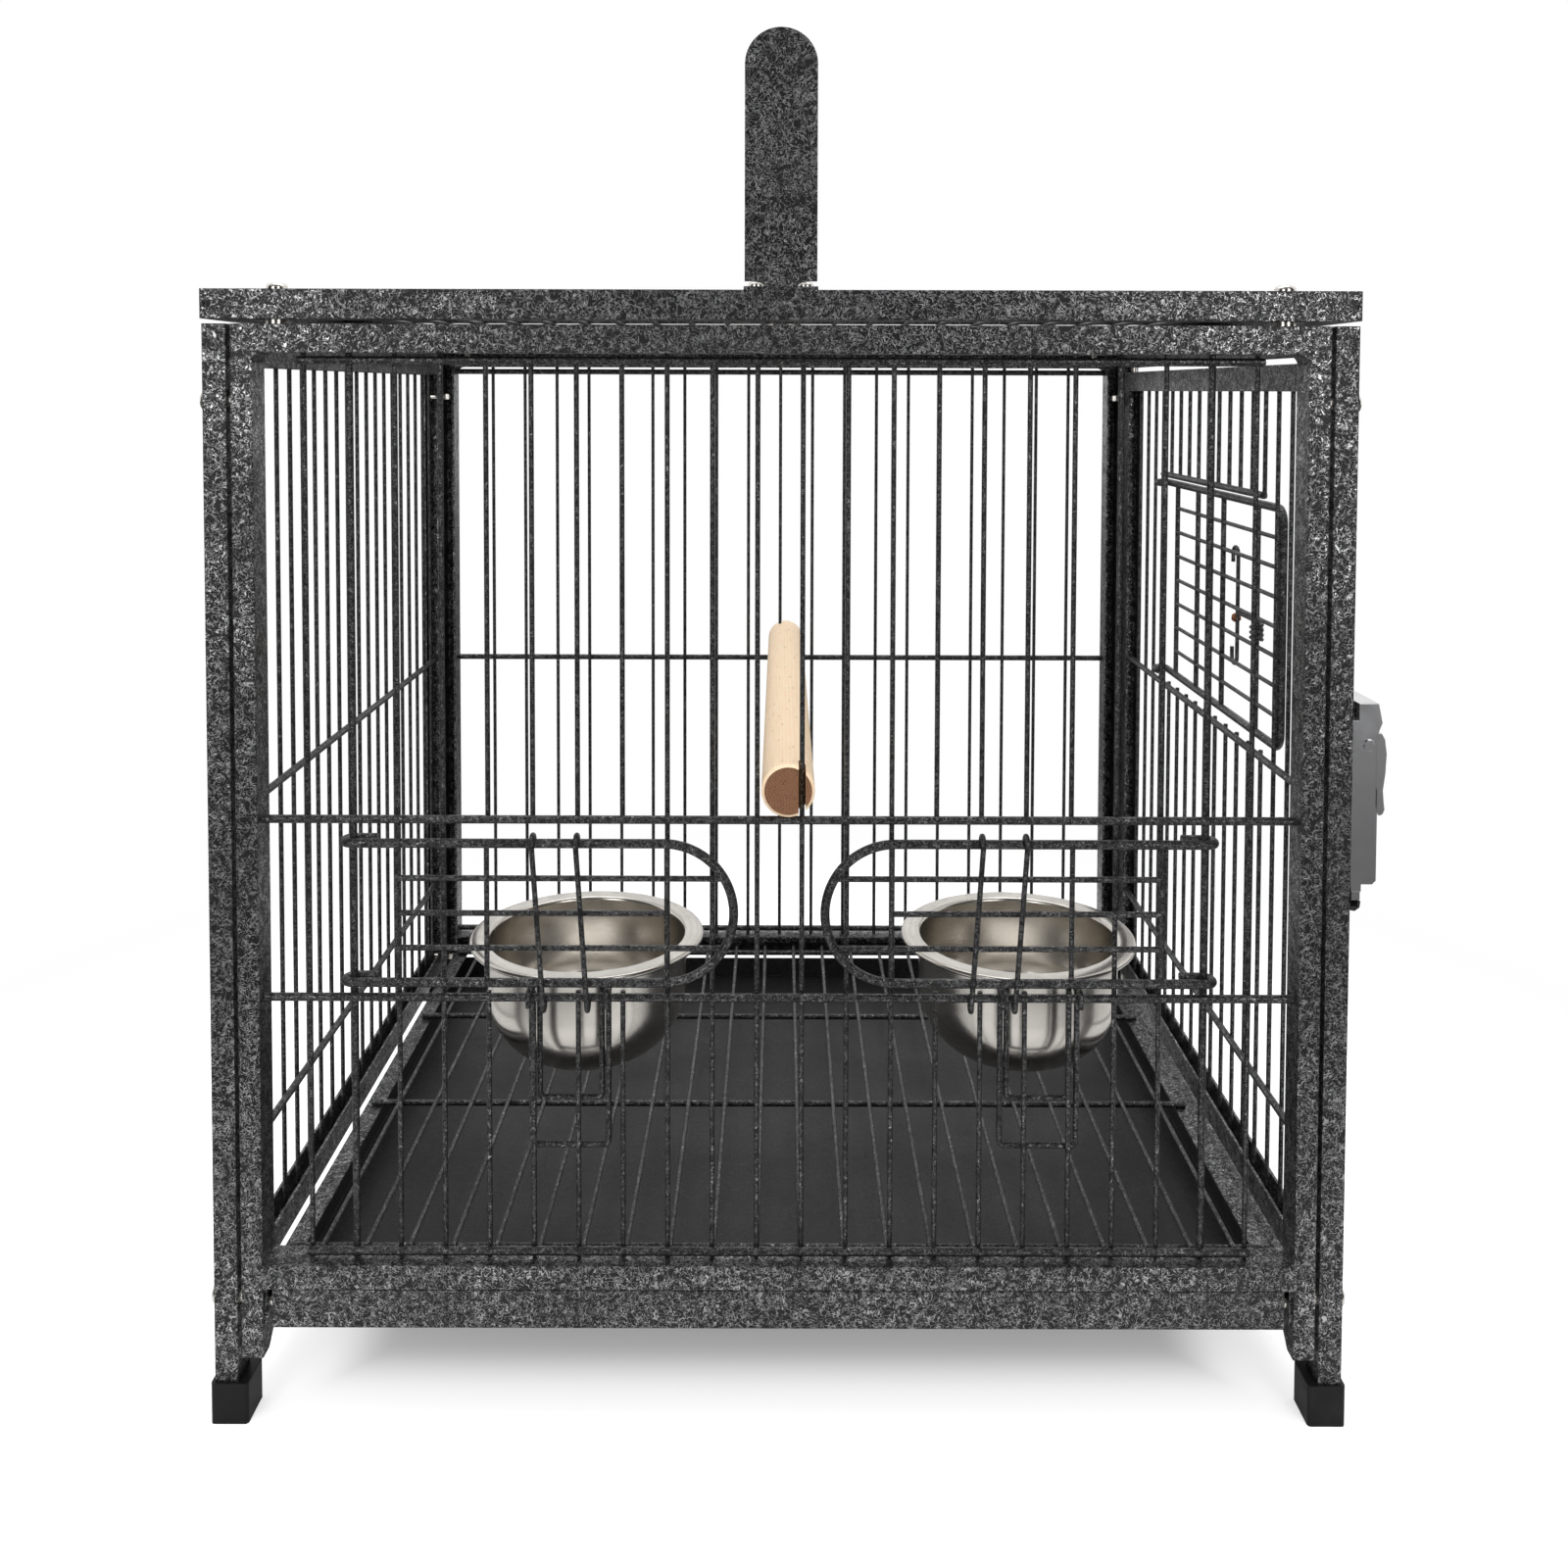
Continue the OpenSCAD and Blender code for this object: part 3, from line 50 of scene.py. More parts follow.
class Value:
    """One output of a node. Arithmetic on it adds Math nodes."""

    def __init__(self, nodes, socket):
        self.nodes, self.socket = nodes, socket

    def math(self, operation, first, second=0.0):
        return self.nodes.node("Math", {"operation": operation}, {0: first, 1: second})

    def __add__(self, other):
        return self.math("ADD", self, other)

    def __sub__(self, other):
        return self.math("SUBTRACT", self, other)

    def __rsub__(self, other):
        return self.math("SUBTRACT", other, self)

    def __mul__(self, other):
        return self.math("MULTIPLY", self, other)

    def __pow__(self, other):
        return self.math("POWER", self, other)

    __radd__ = __add__
    __rmul__ = __mul__

    def away(self, level):
        """How far it is from level, above or below."""
        gap = self - level
        return gap.math("ABSOLUTE", gap)

    def step(self, low, high):
        """0 below low, 1 above high, and a smooth rise between them."""
        return self.nodes.node("MapRange", {"interpolation_type": "SMOOTHSTEP"},
                               {"Value": self, "From Min": low, "From Max": high})

    def most(self, other):
        return self.math("MAXIMUM", self, other)

    def least(self, other):
        return self.math("MINIMUM", self, other)


class Nodes:
    """A node tree of a material or of the world."""

    def __init__(self, tree):
        self.tree = tree

    def node(self, kind, settings, inputs, output=0):
        made = self.tree.nodes.new("ShaderNode" + kind)
        for name, setting in settings.items():
            setattr(made, name, setting)
        for name, value in inputs.items():
            self.feed(made.inputs[name], value)
        return Value(self, made.outputs[output])

    def feed(self, socket, value):
        if isinstance(value, Value):
            self.tree.links.new(value.socket, socket)
        elif isinstance(value, tuple) and socket.type == "RGBA":
            socket.default_value = (*value, 1)
        else:
            socket.default_value = value

    def parts_of(self, vector):
        split = self.node("SeparateXYZ", {}, {"Vector": vector})
        return [Value(self, split.socket.node.outputs[i]) for i in range(3)]


class Finish(Nodes):
    """A material. Its fixed numbers sit on the shader's own sockets."""

    def __init__(self, name, **fixed):
        self.material = bpy.data.materials.new(name)
        self.material.use_nodes = True
        super().__init__(self.material.node_tree)
        self.shader = self.tree.nodes["Principled BSDF"]
        for socket, number in fixed.items():
            self.shader.inputs[socket.replace("_", " ")].default_value = number
        self.place = self.node("TexCoord", {}, {}, "Object")

    def noise(self, scale, detail=2.0, roughness=0.5, distortion=0.0, where=None):
        return self.node("TexNoise", {}, {"Vector": where or self.place, "Scale": scale, "Detail": detail,
                                          "Roughness": roughness, "Distortion": distortion})

    def stretched(self, size, centre=(0, 0, 0), turn=(0, 0, 0)):
        moved = self.node("VectorMath", {"operation": "SUBTRACT"}, {0: self.place, 1: centre})
        return self.node("Mapping", {"vector_type": "POINT"},
                         {"Vector": moved, "Scale": size, "Rotation": turn})

    def mix(self, factor, first, second):
        return self.node("Mix", {"data_type": "RGBA"}, {0: factor, 6: first, 7: second}, 2)

    def bump(self, height, depth, strength=1.0, onto=None):
        inputs = {"Height": height, "Distance": depth, "Strength": strength}
        if onto is not None:
            inputs["Normal"] = onto
        return self.node("Bump", {}, inputs)

    def soft_edges(self, radius):
        return self.node("Bevel", {"samples": 4}, {"Radius": radius})

    def give(self, **surface):
        for socket, value in surface.items():
            self.feed(self.shader.inputs[socket.replace("_", " ")], value)
        return self.material


BEND = 1.4  # how much the ridges of the vein wander
SECOND_FIELD = (0.31, 0.17, 0.23)  # where the second set of ridges is read from, in metres


def worms(finish, scale, width):
    """Thin wandering ridges, as the vein of a hammered powder coat: 1 on a ridge, 0 between."""
    field = finish.noise(scale, 1.0, 0.5, BEND)
    other = finish.noise(scale * 0.83, 1.0, 0.5, BEND, finish.stretched((1, 1, 1), SECOND_FIELD))
    line = 1 - field.away(0.5).step(width * 0.2, width)
    second = 1 - other.away(0.47).step(width * 0.15, width * 0.8)
    breaks = finish.noise(scale * 0.7, 0.0, 0.5).step(0.30, 0.52)
    return (line * breaks).most(second * 0.7)


def vein_coat(name, scale, width, silver, black, depth, edge, mask=None):
    """Black powder coat with a raised silver vein. Where a mask is given, the silver fades with it."""
    finish = Finish(name, IOR=1.4)
    vein = worms(finish, scale, width)
    shown = vein if mask is None else vein * mask(finish)
    cloud = finish.noise(26, 2.0)
    pits = finish.noise(scale * 0.45, 2.0, 0.6)
    tone = finish.mix(shown ** 1.2, black, silver)
    tone = finish.mix(cloud.step(0.3, 0.75) * 0.3, tone, tuple(v * 2.2 for v in black))
    height = vein + pits * 0.6
    normal = finish.bump(height, depth, 1.0, finish.soft_edges(edge))
    return finish.give(Base_Color=tone, Metallic=(shown * 5).least(1.0),
                       Roughness=0.38 - shown * 0.14 + cloud.step(0.35, 0.7) * 0.08, Normal=normal)


LIP_BACK = -181.4 * MM  # Y just inside the sheet of the tray's front lip


def lip_of_tray(finish):
    """1 on the front lip of the tray, and faint in its pan."""
    depth = finish.parts_of(finish.place)[1]
    return 1 - depth.step(LIP_BACK - 0.4 * MM, LIP_BACK + 0.4 * MM) * 0.85


def textured_paint():
    """Semi-gloss black paint with a fine orange-peel grain."""
    finish = Finish("textured_black_paint", IOR=1.5)
    grain = finish.noise(430, 2.5, 0.6, 0.8)
    patch = finish.noise(14, 3.0, 0.6)
    tone = finish.mix(grain.step(0.45, 0.75) * 0.6, (0.009, 0.009, 0.0095), (0.035, 0.035, 0.036))
    tone = finish.mix(patch.step(0.35, 0.7) * 0.35, tone, (0.022, 0.022, 0.023))
    return finish.give(Base_Color=tone, Roughness=0.3 + patch * 0.18 + grain * 0.06,
                       Normal=finish.bump(grain, 0.0003, 0.7, finish.soft_edges(0.0005)))


def plated(name, color, rough, shade):
    """Bright plated steel with faint handling marks."""
    finish = Finish(name, Metallic=1.0, IOR=1.5)
    cloud = finish.noise(60, 3.0, 0.6)
    scratch = finish.noise(900, 2.0, 0.6, 0.0, finish.stretched((1.0, 0.07, 0.25), turn=(0.3, 0.2, 0.5)))
    tone = finish.mix(cloud.step(0.35, 0.7) * 0.5, color, shade)
    return finish.give(Base_Color=tone, Roughness=rough + cloud.step(0.4, 0.8) * 0.07,
                       Normal=finish.bump(scratch, 0.00003, 0.35, finish.soft_edges(0.0003)))


def spun_steel(name, centre):
    """Stainless steel polished on a lathe: fine rings round the axis of the cup."""
    finish = Finish(name, Metallic=1.0, Anisotropic=0.45)
    x, y, z = finish.parts_of(finish.stretched((1, 1, 1), centre))
    radius = (x * x + y * y) ** 0.5
    rings = finish.node("CombineXYZ", {}, {"X": radius * 1400, "Y": z * 1400, "Z": 0.0})
    lathe = finish.noise(1.0, 3.0, 0.65, 0.0, rings)
    cloud = finish.noise(38, 3.0, 0.6, 0.6)
    tone = finish.mix(cloud.step(0.3, 0.75) * 0.6 + lathe * 0.2, (0.72, 0.69, 0.64), (0.56, 0.53, 0.49))
    return finish.give(Base_Color=tone, Roughness=0.13 + lathe * 0.12 + cloud.step(0.45, 0.8) * 0.08,
                       Normal=finish.bump(lathe, 0.00002, 0.4))


def beech(name, centre):
    """Pale planed wood along Y, with pores and short rays, and darker end grain."""
    finish = Finish(name, IOR=1.45)
    along = finish.stretched((1, 0.06, 1), centre)
    x, _, z = finish.parts_of(along)
    wobble = finish.noise(60, 3.0, 0.6, 0.4, along)
    radius = ((x + 0.016) ** 2.0 + (z + 0.006) ** 2.0) ** 0.5
    phase = radius * 5200 + wobble * 6.0
    rings = (phase.math("SINE", phase) * 0.5 + 0.5) ** 1.6
    fibre = finish.noise(900, 3.0, 0.6, 0.0, along)
    ray = finish.noise(520, 1.0, 0.4, 0.0, finish.stretched((1, 0.3, 1), centre)).step(0.66, 0.74)
    tone = finish.mix(rings * 0.55, (0.96, 0.73, 0.49), (0.90, 0.63, 0.39))
    tone = finish.mix(fibre.step(0.35, 0.7) * 0.45, tone, (0.98, 0.82, 0.61))
    tone = finish.mix(ray * 0.45, tone, (0.52, 0.30, 0.16))
    facing = finish.parts_of(finish.node("NewGeometry", {}, {}, "Normal"))[1]
    cut = facing.away(0.0).step(0.8, 0.95)
    pores = finish.noise(1500, 2.0, 0.6).step(0.5, 0.72)
    end = finish.mix(pores * 0.8 + rings * 0.3, (0.23, 0.105, 0.05), (0.10, 0.045, 0.022))
    tone = finish.mix(cut, tone, end)
    return finish.give(Base_Color=tone, Roughness=0.58 - fibre * 0.08 + cut * 0.2,
                       Normal=finish.bump(fibre + ray * 0.6 + cut * pores, 0.00025, 0.5))


def moulded_plastic():
    """Black moulded plastic with a faint spark-eroded grain."""
    finish = Finish("moulded_black_plastic", IOR=1.28)
    grain = finish.noise(1300, 2.0, 0.6)
    scuff = finish.noise(45, 4.0, 0.7).step(0.52, 0.75)
    worn = scuff * 0.5 + grain * 0.15
    tone = finish.mix(worn, (0.006, 0.006, 0.0063), (0.02, 0.02, 0.0205))
    return finish.give(Base_Color=tone, Roughness=0.34 + scuff * 0.2 + grain * 0.08,
                       Normal=finish.bump(grain, 0.00008, 0.5, finish.soft_edges(0.0006)))


def foam_grip():
    """Closed-cell foam: dull, with small open pores."""
    finish = Finish("grip_foam", IOR=1.4)
    cells = finish.node("TexVoronoi", {"feature": "F1"}, {"Vector": finish.place, "Scale": 900.0},
                        "Distance")
    cloud = finish.noise(50, 3.0)
    skin = cells.step(0.2, 0.6) * 0.5 + cloud * 0.2
    tone = finish.mix(skin, (0.010, 0.010, 0.011), (0.035, 0.035, 0.036))
    return finish.give(Base_Color=tone, Roughness=0.82 + cloud * 0.1,
                       Normal=finish.bump(cells, 0.0003, 0.6))


def copper_braze():
    """A drop of copper braze, darkened by heat."""
    finish = Finish("copper_braze", Metallic=1.0)
    stain = finish.noise(700, 3.0, 0.6, 0.6)
    tone = finish.mix(stain.step(0.35, 0.7), (0.52, 0.20, 0.09), (0.10, 0.05, 0.035))
    return finish.give(Base_Color=tone, Roughness=0.35 + stain * 0.25,
                       Normal=finish.bump(stain, 0.0002, 0.6))


INK = (0.006, 0.006, 0.0062)
sheet_coat = vein_coat("hammered_sheet_coat", 400, 0.045, (0.60, 0.60, 0.605), INK, 0.00007, 0.0007)
wire_coat = vein_coat("hammered_wire_coat", 560, 0.04, (0.36, 0.36, 0.365), INK, 0.00005, 0.0003)
tray_coat = vein_coat("hammered_tray_coat", 400, 0.045, (0.50, 0.50, 0.505), INK, 0.00006, 0.0005,
                      lip_of_tray)
paint = textured_paint()
nickel = plated("nickel_plate", (0.78, 0.75, 0.70), 0.17, (0.58, 0.55, 0.50))
chrome = plated("chrome_plate", (0.68, 0.68, 0.69), 0.10, (0.50, 0.50, 0.52))
plastic = moulded_plastic()
foam = foam_grip()
braze = copper_braze()


def middle(node):
    low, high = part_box(node)
    return (low + high) / 2


SHEET = ("front_posts", "front_rails", "back_posts", "back_rails", "left_posts", "left_rails", "right_posts",
         "right_rails", "roof_long_rails", "roof_end_rails", "handle_front_plate", "handle_back_plate",
         "handle_tube", "tray_runners", "door_stiles", "door_rails")
WIRE = ("front_mesh_top", "front_mesh_bottom", "front_mesh_left", "front_mesh_middle", "front_mesh_right",
        "back_mesh", "left_mesh", "roof_mesh", "floor_grille", "left_cup_hanger", "right_cup_hanger",
        "left_feeder_door", "right_feeder_door", "left_outer_hook", "left_inner_hook", "right_outer_hook",
        "right_inner_hook", "door_mesh_top", "door_mesh_bottom", "door_mesh_front", "door_mesh_back",
        "access_door", "access_latch", "access_coil")
NICKEL = ("roof_screws", "side_screws", "panel_spacers", "panel_nuts", "handle_screws", "runner_screws",
          "door_hinge_pins")
CHROME = ("latch_base", "latch_rivets", "latch_lever", "latch_tongue", "latch_pin")


def paint_nodes(names, material):
    for name in names:
        mesh = NODES[name].data
        mesh.materials.clear()
        mesh.materials.append(material)


paint_nodes(SHEET, sheet_coat)
paint_nodes(WIRE, wire_coat)
paint_nodes(NICKEL, nickel)
paint_nodes(CHROME, chrome)
paint_nodes(("tray",), tray_coat)
paint_nodes(("latch_keeper",), paint)
paint_nodes(("foot_caps",), plastic)
paint_nodes(("perch",), beech("planed_beech", tuple(middle("perch"))))


# ---- Pieces ---------------------------------------------------------------------------------

SAME_POINT = 1e-6  # points nearer than this, in metres, are one
SHARP_FROM = radians(38)  # edges that bend more than this are shaded sharp


def piece(name, mesh_of, material, body, slot, *stands_for):
    """Turns a bmesh into an object that rides on a body, and may stand for nodes of the CAD."""
    bmesh.ops.remove_doubles(mesh_of, verts=mesh_of.verts, dist=SAME_POINT)
    bmesh.ops.recalc_face_normals(mesh_of, faces=mesh_of.faces)
    data = bpy.data.meshes.new(name)
    mesh_of.to_mesh(data)
    mesh_of.free()
    data.materials.append(material)
    data.set_sharp_from_angle(angle=SHARP_FROM)
    made = bpy.data.objects.new(name, data)
    bpy.context.scene.collection.objects.link(made)
    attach(made, body)
    if stands_for:
        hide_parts(*stands_for)


def profile(into, points, closed=False):
    """A polyline in the XZ plane, ready to be spun round Z."""
    verts = [into.verts.new((x, 0, z)) for x, z in points]
    following = verts[1:] + verts[:1] if closed else verts[1:]
    return verts + [into.edges.new(pair) for pair in zip(verts, following)]


def spun(points, steps, centre=(0, 0, 0), closed=False):
    """A turned shape round a vertical axis through centre."""
    made = bmesh.new()
    line = profile(made, points, closed)
    bmesh.ops.spin(made, geom=line, cent=(0, 0, 0), axis=(0, 0, 1), angle=2 * pi, steps=steps,
                   use_merge=True)
    bmesh.ops.translate(made, verts=made.verts, vec=centre)
    return made


def arc(cx, cz, r, start, end, steps):
    """Points on a part of a circle, from one angle to another in degrees."""
    angles = [radians(start + (end - start) * i / steps) for i in range(steps + 1)]
    return [(cx + r * cos(a), cz + r * sin(a)) for a in angles]


CUP_STEPS = 128
CUP_WALL = 44.5 * MM  # outer radius of the upright wall
CUP_SHEET = 0.8 * MM
CUP_ROLL = 1.3 * MM  # radius of the rolled edge
CUP_BOWL = 30 * MM  # radius of the round bottom
CUP_DISH, CUP_LIFT = 3 * MM, 0.35 * MM  # the flat middle of the bottom is pressed up a little
NECK_OUT, NECK_IN = 1.2 * MM, 1.8 * MM  # radii where the wall bends out into the rim


def cup(name):
    """A cup spun from one sheet, with a round bottom, a flat rim and a rolled edge."""
    low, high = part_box(name)
    centre = (low + high) / 2
    rim = (high.x - low.x) / 2
    height = high.z - low.z
    flat = height - CUP_SHEET
    round_from = CUP_WALL - CUP_BOWL
    half_up = CUP_BOWL + (flat - CUP_BOWL) * 0.5
    bend_in = CUP_WALL - CUP_SHEET + NECK_IN
    outside = ([(0, CUP_LIFT), (round_from - CUP_DISH, CUP_LIFT), (round_from, 0)]
               + arc(round_from, CUP_BOWL, CUP_BOWL, -90, 0, 14)[1:]
               + [(CUP_WALL, half_up), (CUP_WALL, flat - NECK_OUT)]
               + arc(CUP_WALL + NECK_OUT, flat - NECK_OUT, NECK_OUT, 180, 90, 5)[1:]
               + [(rim - CUP_ROLL, flat)])
    edge = arc(rim - CUP_ROLL, height - CUP_ROLL, CUP_ROLL, -150, 90, 12)
    inside = ([(bend_in, height)]
              + arc(bend_in, height - NECK_IN, NECK_IN, 90, 180, 6)[1:]
              + [(CUP_WALL - CUP_SHEET, half_up)]
              + arc(round_from, CUP_BOWL, CUP_BOWL - CUP_SHEET, 0, -90, 14)
              + [(round_from - CUP_DISH, CUP_LIFT + CUP_SHEET), (0, CUP_LIFT + CUP_SHEET)])
    shape = spun(outside + edge + inside, CUP_STEPS, (centre.x, centre.y, low.z))
    piece(name + "_spun", shape, spun_steel(name + "_steel", tuple(centre)), name, "stainless", name)


cup("left_cup")
cup("right_cup")


# Pan-head screws with a cross recess. Shares are of the head's radius, and of its height for levels.
ARM, ARM_WIDTH = 0.46, 0.13
RECESS_TAPER = 0.62
CROWN, CROWN_LEVEL = 0.62, 0.94
DOME = ((0.82, 0.8), (0.95, 0.55), (1.0, 0.3), (1.0, 0.0), (0.4, 0.0))
SHANK_CHAMFER = 0.5 * MM
FIRST_TURN, NEXT_TURN = 0.4, 1.3  # radians: no two crosses in a row stand alike


def grow(into, rim, reach, level):
    """Adds a ring of faces from rim to a circle of radius reach at level, and gives its edges."""
    grown = bmesh.ops.extrude_edge_only(into, edges=rim)["geom"]
    ring = [g for g in grown if isinstance(g, bmesh.types.BMVert)]
    scale = reach / sqrt(ring[0].co.x ** 2 + ring[0].co.y ** 2)
    for vert in ring:
        vert.co = (vert.co.x * scale, vert.co.y * scale, level)
    return [g for g in grown if isinstance(g, bmesh.types.BMEdge) and all(v in ring for v in g.verts)]


def cross_head(radius, height, recess):
    """A domed head on z = 0 whose crown is pressed in a cross, and the edges it is open at."""
    made = bmesh.new()
    arm, width = radius * ARM, radius * ARM_WIDTH
    outline = [(arm, -width), (arm, width), (width, width), (width, arm), (-width, arm), (-width, width),
               (-arm, width), (-arm, -width), (-width, -width), (-width, -arm), (width, -arm),
               (width, -width)]
    crown = [made.verts.new((x, y, height)) for x, y in outline]
    cross = made.faces.new(crown)
    around = bmesh.ops.create_circle(made, cap_ends=False, segments=12, radius=radius * CROWN,
                                     matrix=Matrix.Rotation(radians(-15), 4, "Z"))["verts"]
    bmesh.ops.translate(made, verts=around, vec=(0, 0, height * CROWN_LEVEL))
    loop = [e for e in made.edges if all(v in around for v in e.verts)]
    bmesh.ops.bridge_loops(made, edges=list(cross.edges) + loop)
    down = bmesh.ops.extrude_discrete_faces(made, faces=[cross])["faces"][0]
    bmesh.ops.translate(made, verts=down.verts, vec=(0, 0, -recess))
    bmesh.ops.scale(made, verts=down.verts, vec=(RECESS_TAPER, RECESS_TAPER, 1))
    rim = loop
    for reach, level in DOME:
        rim = grow(made, rim, reach * radius, level * height)
    return made, rim


def screw(radius, height, shank, length, recess):
    made, rim = cross_head(radius, height, recess)
    for reach, level in ((shank, 0.0), (shank, SHANK_CHAMFER - length), (shank - SHANK_CHAMFER, -length)):
        rim = grow(made, rim, reach, level)
    bmesh.ops.holes_fill(made, edges=rim, sides=0)
    return made


def islands(name):
    """The separate solids of a CAD node, each as its lowest and highest corner."""
    copy = bmesh.new()
    copy.from_mesh(NODES[name].data)
    bmesh.ops.remove_doubles(copy, verts=copy.verts, dist=SAME_POINT)
    left, found = set(copy.verts), []
    while left:
        border, group = [left.pop()], []
        while border:
            vert = border.pop()
            group.append(vert.co.copy())
            for link in vert.link_edges:
                other = link.other_vert(vert)
                if other in left:
                    left.remove(other)
                    border.append(other)
        low = Vector([min(p[i] for p in group) for i in range(3)])
        high = Vector([max(p[i] for p in group) for i in range(3)])
        found.append((low, high))
    copy.free()
    return sorted(found, key=lambda box: tuple(round(v, 5) for v in box[0]))


# Height of each head, as a share of its width
HEAD_SHARE = {"roof_screws": 2.8 / 8.8, "side_screws": 2.8 / 8.8, "handle_screws": 2.8 / 8.8,
              "runner_screws": 2 / 5.6}


def screws(name, axis, outward, shank, recess):
    """Puts a cross-head screw where each screw of a CAD node is. axis is its long axis, 0 or 2,
    and outward says from its centre which way its head looks along it, 1 or -1."""
    made = bmesh.new()
    for k, (low, high) in enumerate(islands(name)):
        size, centre = high - low, (low + high) / 2
        others = [i for i in range(3) if i != axis]
        radius = size[others[0]] / 2
        sign = outward(centre)
        height = radius * 2 * HEAD_SHARE[name]
        tip = low[axis] if sign > 0 else high[axis]
        top = high[axis] if sign > 0 else low[axis]
        length = abs(top - tip) - height
        one = screw(radius, height, shank, length, recess)
        turn = Matrix.Rotation(FIRST_TURN + NEXT_TURN * k, 4, "Z")
        if axis == 0:
            turn = Matrix.Rotation(sign * pi / 2, 4, "Y") @ turn
        elif sign < 0:
            turn = Matrix.Rotation(pi, 4, "X") @ turn
        at = centre.copy()
        at[axis] = top - sign * height
        bmesh.ops.transform(one, matrix=Matrix.Translation(at) @ turn, verts=one.verts)
        loose = bpy.data.meshes.new("loose_screw")
        one.to_mesh(loose)
        one.free()
        made.from_mesh(loose)
        bpy.data.meshes.remove(loose)
    piece(name + "_cross_head", made, nickel, "cage", "nickel", name)


screws("roof_screws", 2, lambda c: 1, 2 * MM, 1.5 * MM)
screws("handle_screws", 2, lambda c: 1, 2 * MM, 1.2 * MM)
screws("side_screws", 0, lambda c: 1 if c.x > 0 else -1, 2 * MM, 1.5 * MM)
screws("runner_screws", 0, lambda c: -1 if c.x > 0 else 1, 1.5 * MM, 1.0 * MM)


GRIP_STEPS = 48
GRIP_BORE = 9.55 * MM  # radius
GRIP_EDGE = 3 * MM  # radius of its rounded ends
RIBS = 20
GROOVE = ((0.15, 0), (0.35, 0.25), (0.5, 0.8), (0.65, 0.25), (0.85, 0))  # share of the pitch, depth in mm


def grip():
    """The ribbed foam tube on the handle, turned upright and then laid along Y."""
    low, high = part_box("handle_grip")
    centre, half, outer = (low + high) / 2, (high.y - low.y) / 2, (high.z - low.z) / 2
    corner = outer - GRIP_EDGE
    pitch = (2 * half - 2 * GRIP_EDGE) / RIBS
    line = [(GRIP_BORE, -half), (corner, -half)] + arc(corner, -half + GRIP_EDGE, GRIP_EDGE, -90, 0, 5)[1:]
    for k in range(RIBS):
        z = -half + GRIP_EDGE + k * pitch
        line += [(outer - depth * MM, z + pitch * share) for share, depth in GROOVE]
    line += arc(corner, half - GRIP_EDGE, GRIP_EDGE, 0, 90, 5) + [(GRIP_BORE, half)]
    shape = spun(line, GRIP_STEPS, closed=True)
    bmesh.ops.rotate(shape, verts=shape.verts, cent=(0, 0, 0), matrix=Matrix.Rotation(-pi / 2, 3, "X"))
    bmesh.ops.translate(shape, verts=shape.verts, vec=centre)
    piece("handle_foam", shape, foam, "cage", "grip", "handle_grip")


grip()

BRAZE_AT = Vector((233.85, -30.37, 310.9)) * MM
BRAZE_RADIUS = 2.45 * MM


def braze_drop():
    """A slightly uneven drop of copper braze on the latch of the access door."""
    shape = bmesh.new()
    bmesh.ops.create_icosphere(shape, subdivisions=3, radius=BRAZE_RADIUS,
                               matrix=Matrix.Translation(BRAZE_AT))
    for vert in shape.verts:
        swell = 1 + 0.05 * sin(vert.co.z * 2600) + 0.04 * sin(vert.co.y * 3100 + 1)
        vert.co = BRAZE_AT + (vert.co - BRAZE_AT) * swell
    piece("braze_drop", shape, braze, "access_latch", "coat")


braze_drop()


# ---- Room -----------------------------------------------------------------------------------

FLOOR_REACH = 6  # metres from the middle to each side
WHITE, CARD, CARD_FAR = (1, 1, 1), (0.8, 0.8, 0.8), (0.08, 0.08, 0.08)
GLOW, GLOW_OUTSIDE = 0.19, 0.34  # the card's own light, and what is added to it beside the object


def floor():
    """A pale card that keeps the shadow under the object and, as the camera sees it, is lit from
    within, more outside the object's outline, and plain white further off."""
    shape = bmesh.new()
    bmesh.ops.create_grid(shape, x_segments=1, y_segments=1, size=FLOOR_REACH)
    data = bpy.data.meshes.new("studio_floor")
    shape.to_mesh(data)
    shape.free()
    made = bpy.data.objects.new("studio_floor", data)
    bpy.context.scene.collection.objects.link(made)
    card = Finish("white_card", Roughness=0.8)
    x, y, _ = card.parts_of(card.place)
    reach = x * x + y * y  # the square of the distance from the middle
    far = reach.step(0.10, 0.42)
    beside = y.away(0.0).most(x.away(0.0) - 0.035).step(0.134, 0.166)
    card.give(Base_Color=card.mix(reach.step(0.12, 0.5), CARD, CARD_FAR))
    seen = card.node("LightPath", {}, {}, "Is Camera Ray")
    white = card.node("Emission", {}, {"Color": WHITE, "Strength": 1.0})
    plain = Value(card, card.shader.outputs[0])
    glow = card.node("Emission", {}, {"Strength": (GLOW + GLOW_OUTSIDE * beside) * seen})
    lift = card.node("AddShader", {}, {0: plain, 1: glow})
    card.feed(card.tree.nodes["Material Output"].inputs["Surface"],
              card.node("MixShader", {}, {0: far * seen, 1: lift, 2: white}))
    data.materials.append(card.material)


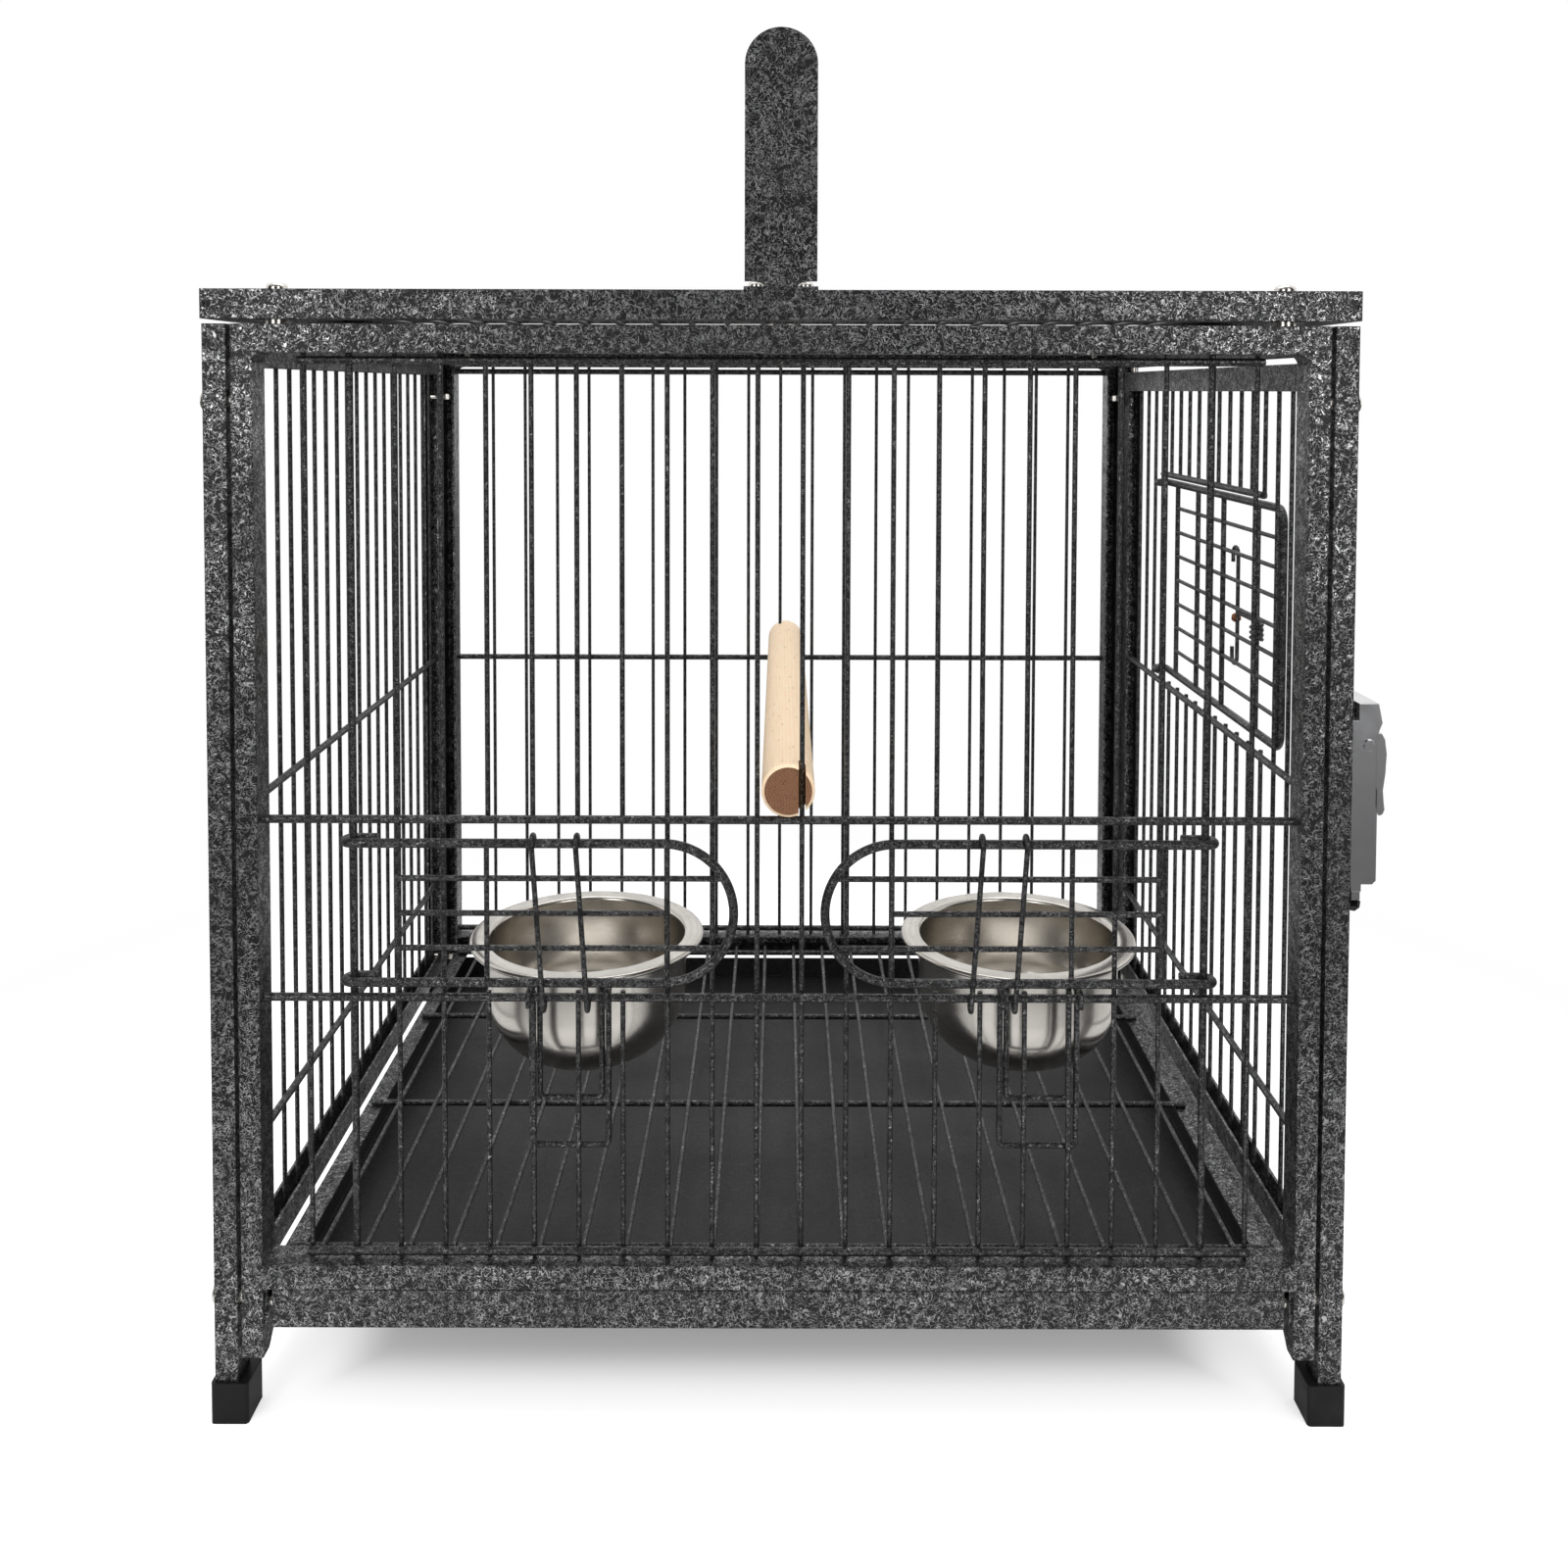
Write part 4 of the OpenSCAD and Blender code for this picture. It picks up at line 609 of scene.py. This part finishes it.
def studio():
    """White to the camera. What shines sees a dark room in front and a bright one behind."""
    world = bpy.data.worlds.new("studio")
    bpy.context.scene.world = world
    world.use_nodes = True
    nodes = Nodes(world.node_tree)
    _, y, z = nodes.parts_of(nodes.node("TexCoord", {}, {}, "Generated"))
    path = nodes.node("LightPath", {}, {}, "Is Camera Ray")
    clear = path.most(Value(nodes, path.socket.node.outputs["Is Transmission Ray"]))
    shiny = Value(nodes, path.socket.node.outputs["Is Glossy Ray"])
    room = y.step(-0.25, 0.15) * 0.96 + z.step(0.4, 0.9) * 0.2 + 0.02
    unseen = 0.95 * (1 - shiny) + room.least(1.0) * shiny
    sky = world.node_tree.nodes["Background"]
    nodes.feed(sky.inputs["Color"], WHITE)
    nodes.feed(sky.inputs["Strength"], unseen * (1 - clear) + clear)


def lamp(name, power, size, place, aim):
    """A rectangular lamp of some watts, at a place and turned to a point."""
    data = bpy.data.lights.new(name, "AREA")
    data.shape, data.size, data.size_y = "RECTANGLE", size[0], size[1]
    data.energy = power
    made = bpy.data.objects.new(name, data)
    made.location = place
    made.rotation_euler = (Vector(aim) - Vector(place)).to_track_quat("-Z", "Y").to_euler()
    bpy.context.scene.collection.objects.link(made)


SENSOR, LENS = 36.0, 32.43  # mm
SHIFT = (0.0022, -0.2160)
EYE = (0, -0.7505, 0.42685)
DOWN, ROLL = 2.239, 0.147  # degrees


def camera():
    """The camera as fitted to the photograph."""
    data = bpy.data.cameras.new("camera")
    data.sensor_width, data.lens = SENSOR, LENS
    data.shift_x, data.shift_y = SHIFT
    data.clip_start, data.clip_end = 0.01, 50
    made = bpy.data.objects.new("camera", data)
    made.matrix_world = (Matrix.Translation(EYE) @ Matrix.Rotation(radians(90 - DOWN), 4, "X")
                         @ Matrix.Rotation(radians(ROLL), 4, "Z"))
    bpy.context.scene.collection.objects.link(made)
    bpy.context.scene.camera = made


floor()
studio()
lamp("left_softbox", 6, (0.5, 1.3), (-0.72, -1.45, 0.7), (0, 0, 0.25))
lamp("right_softbox", 6, (0.5, 1.3), (0.72, -1.45, 0.7), (0, 0, 0.25))
lamp("top_softbox", 7, (1.4, 1.0), (0, 0.1, 1.7), (0, 0, 0.2))
camera()
bpy.context.scene.view_settings.view_transform = "Standard"
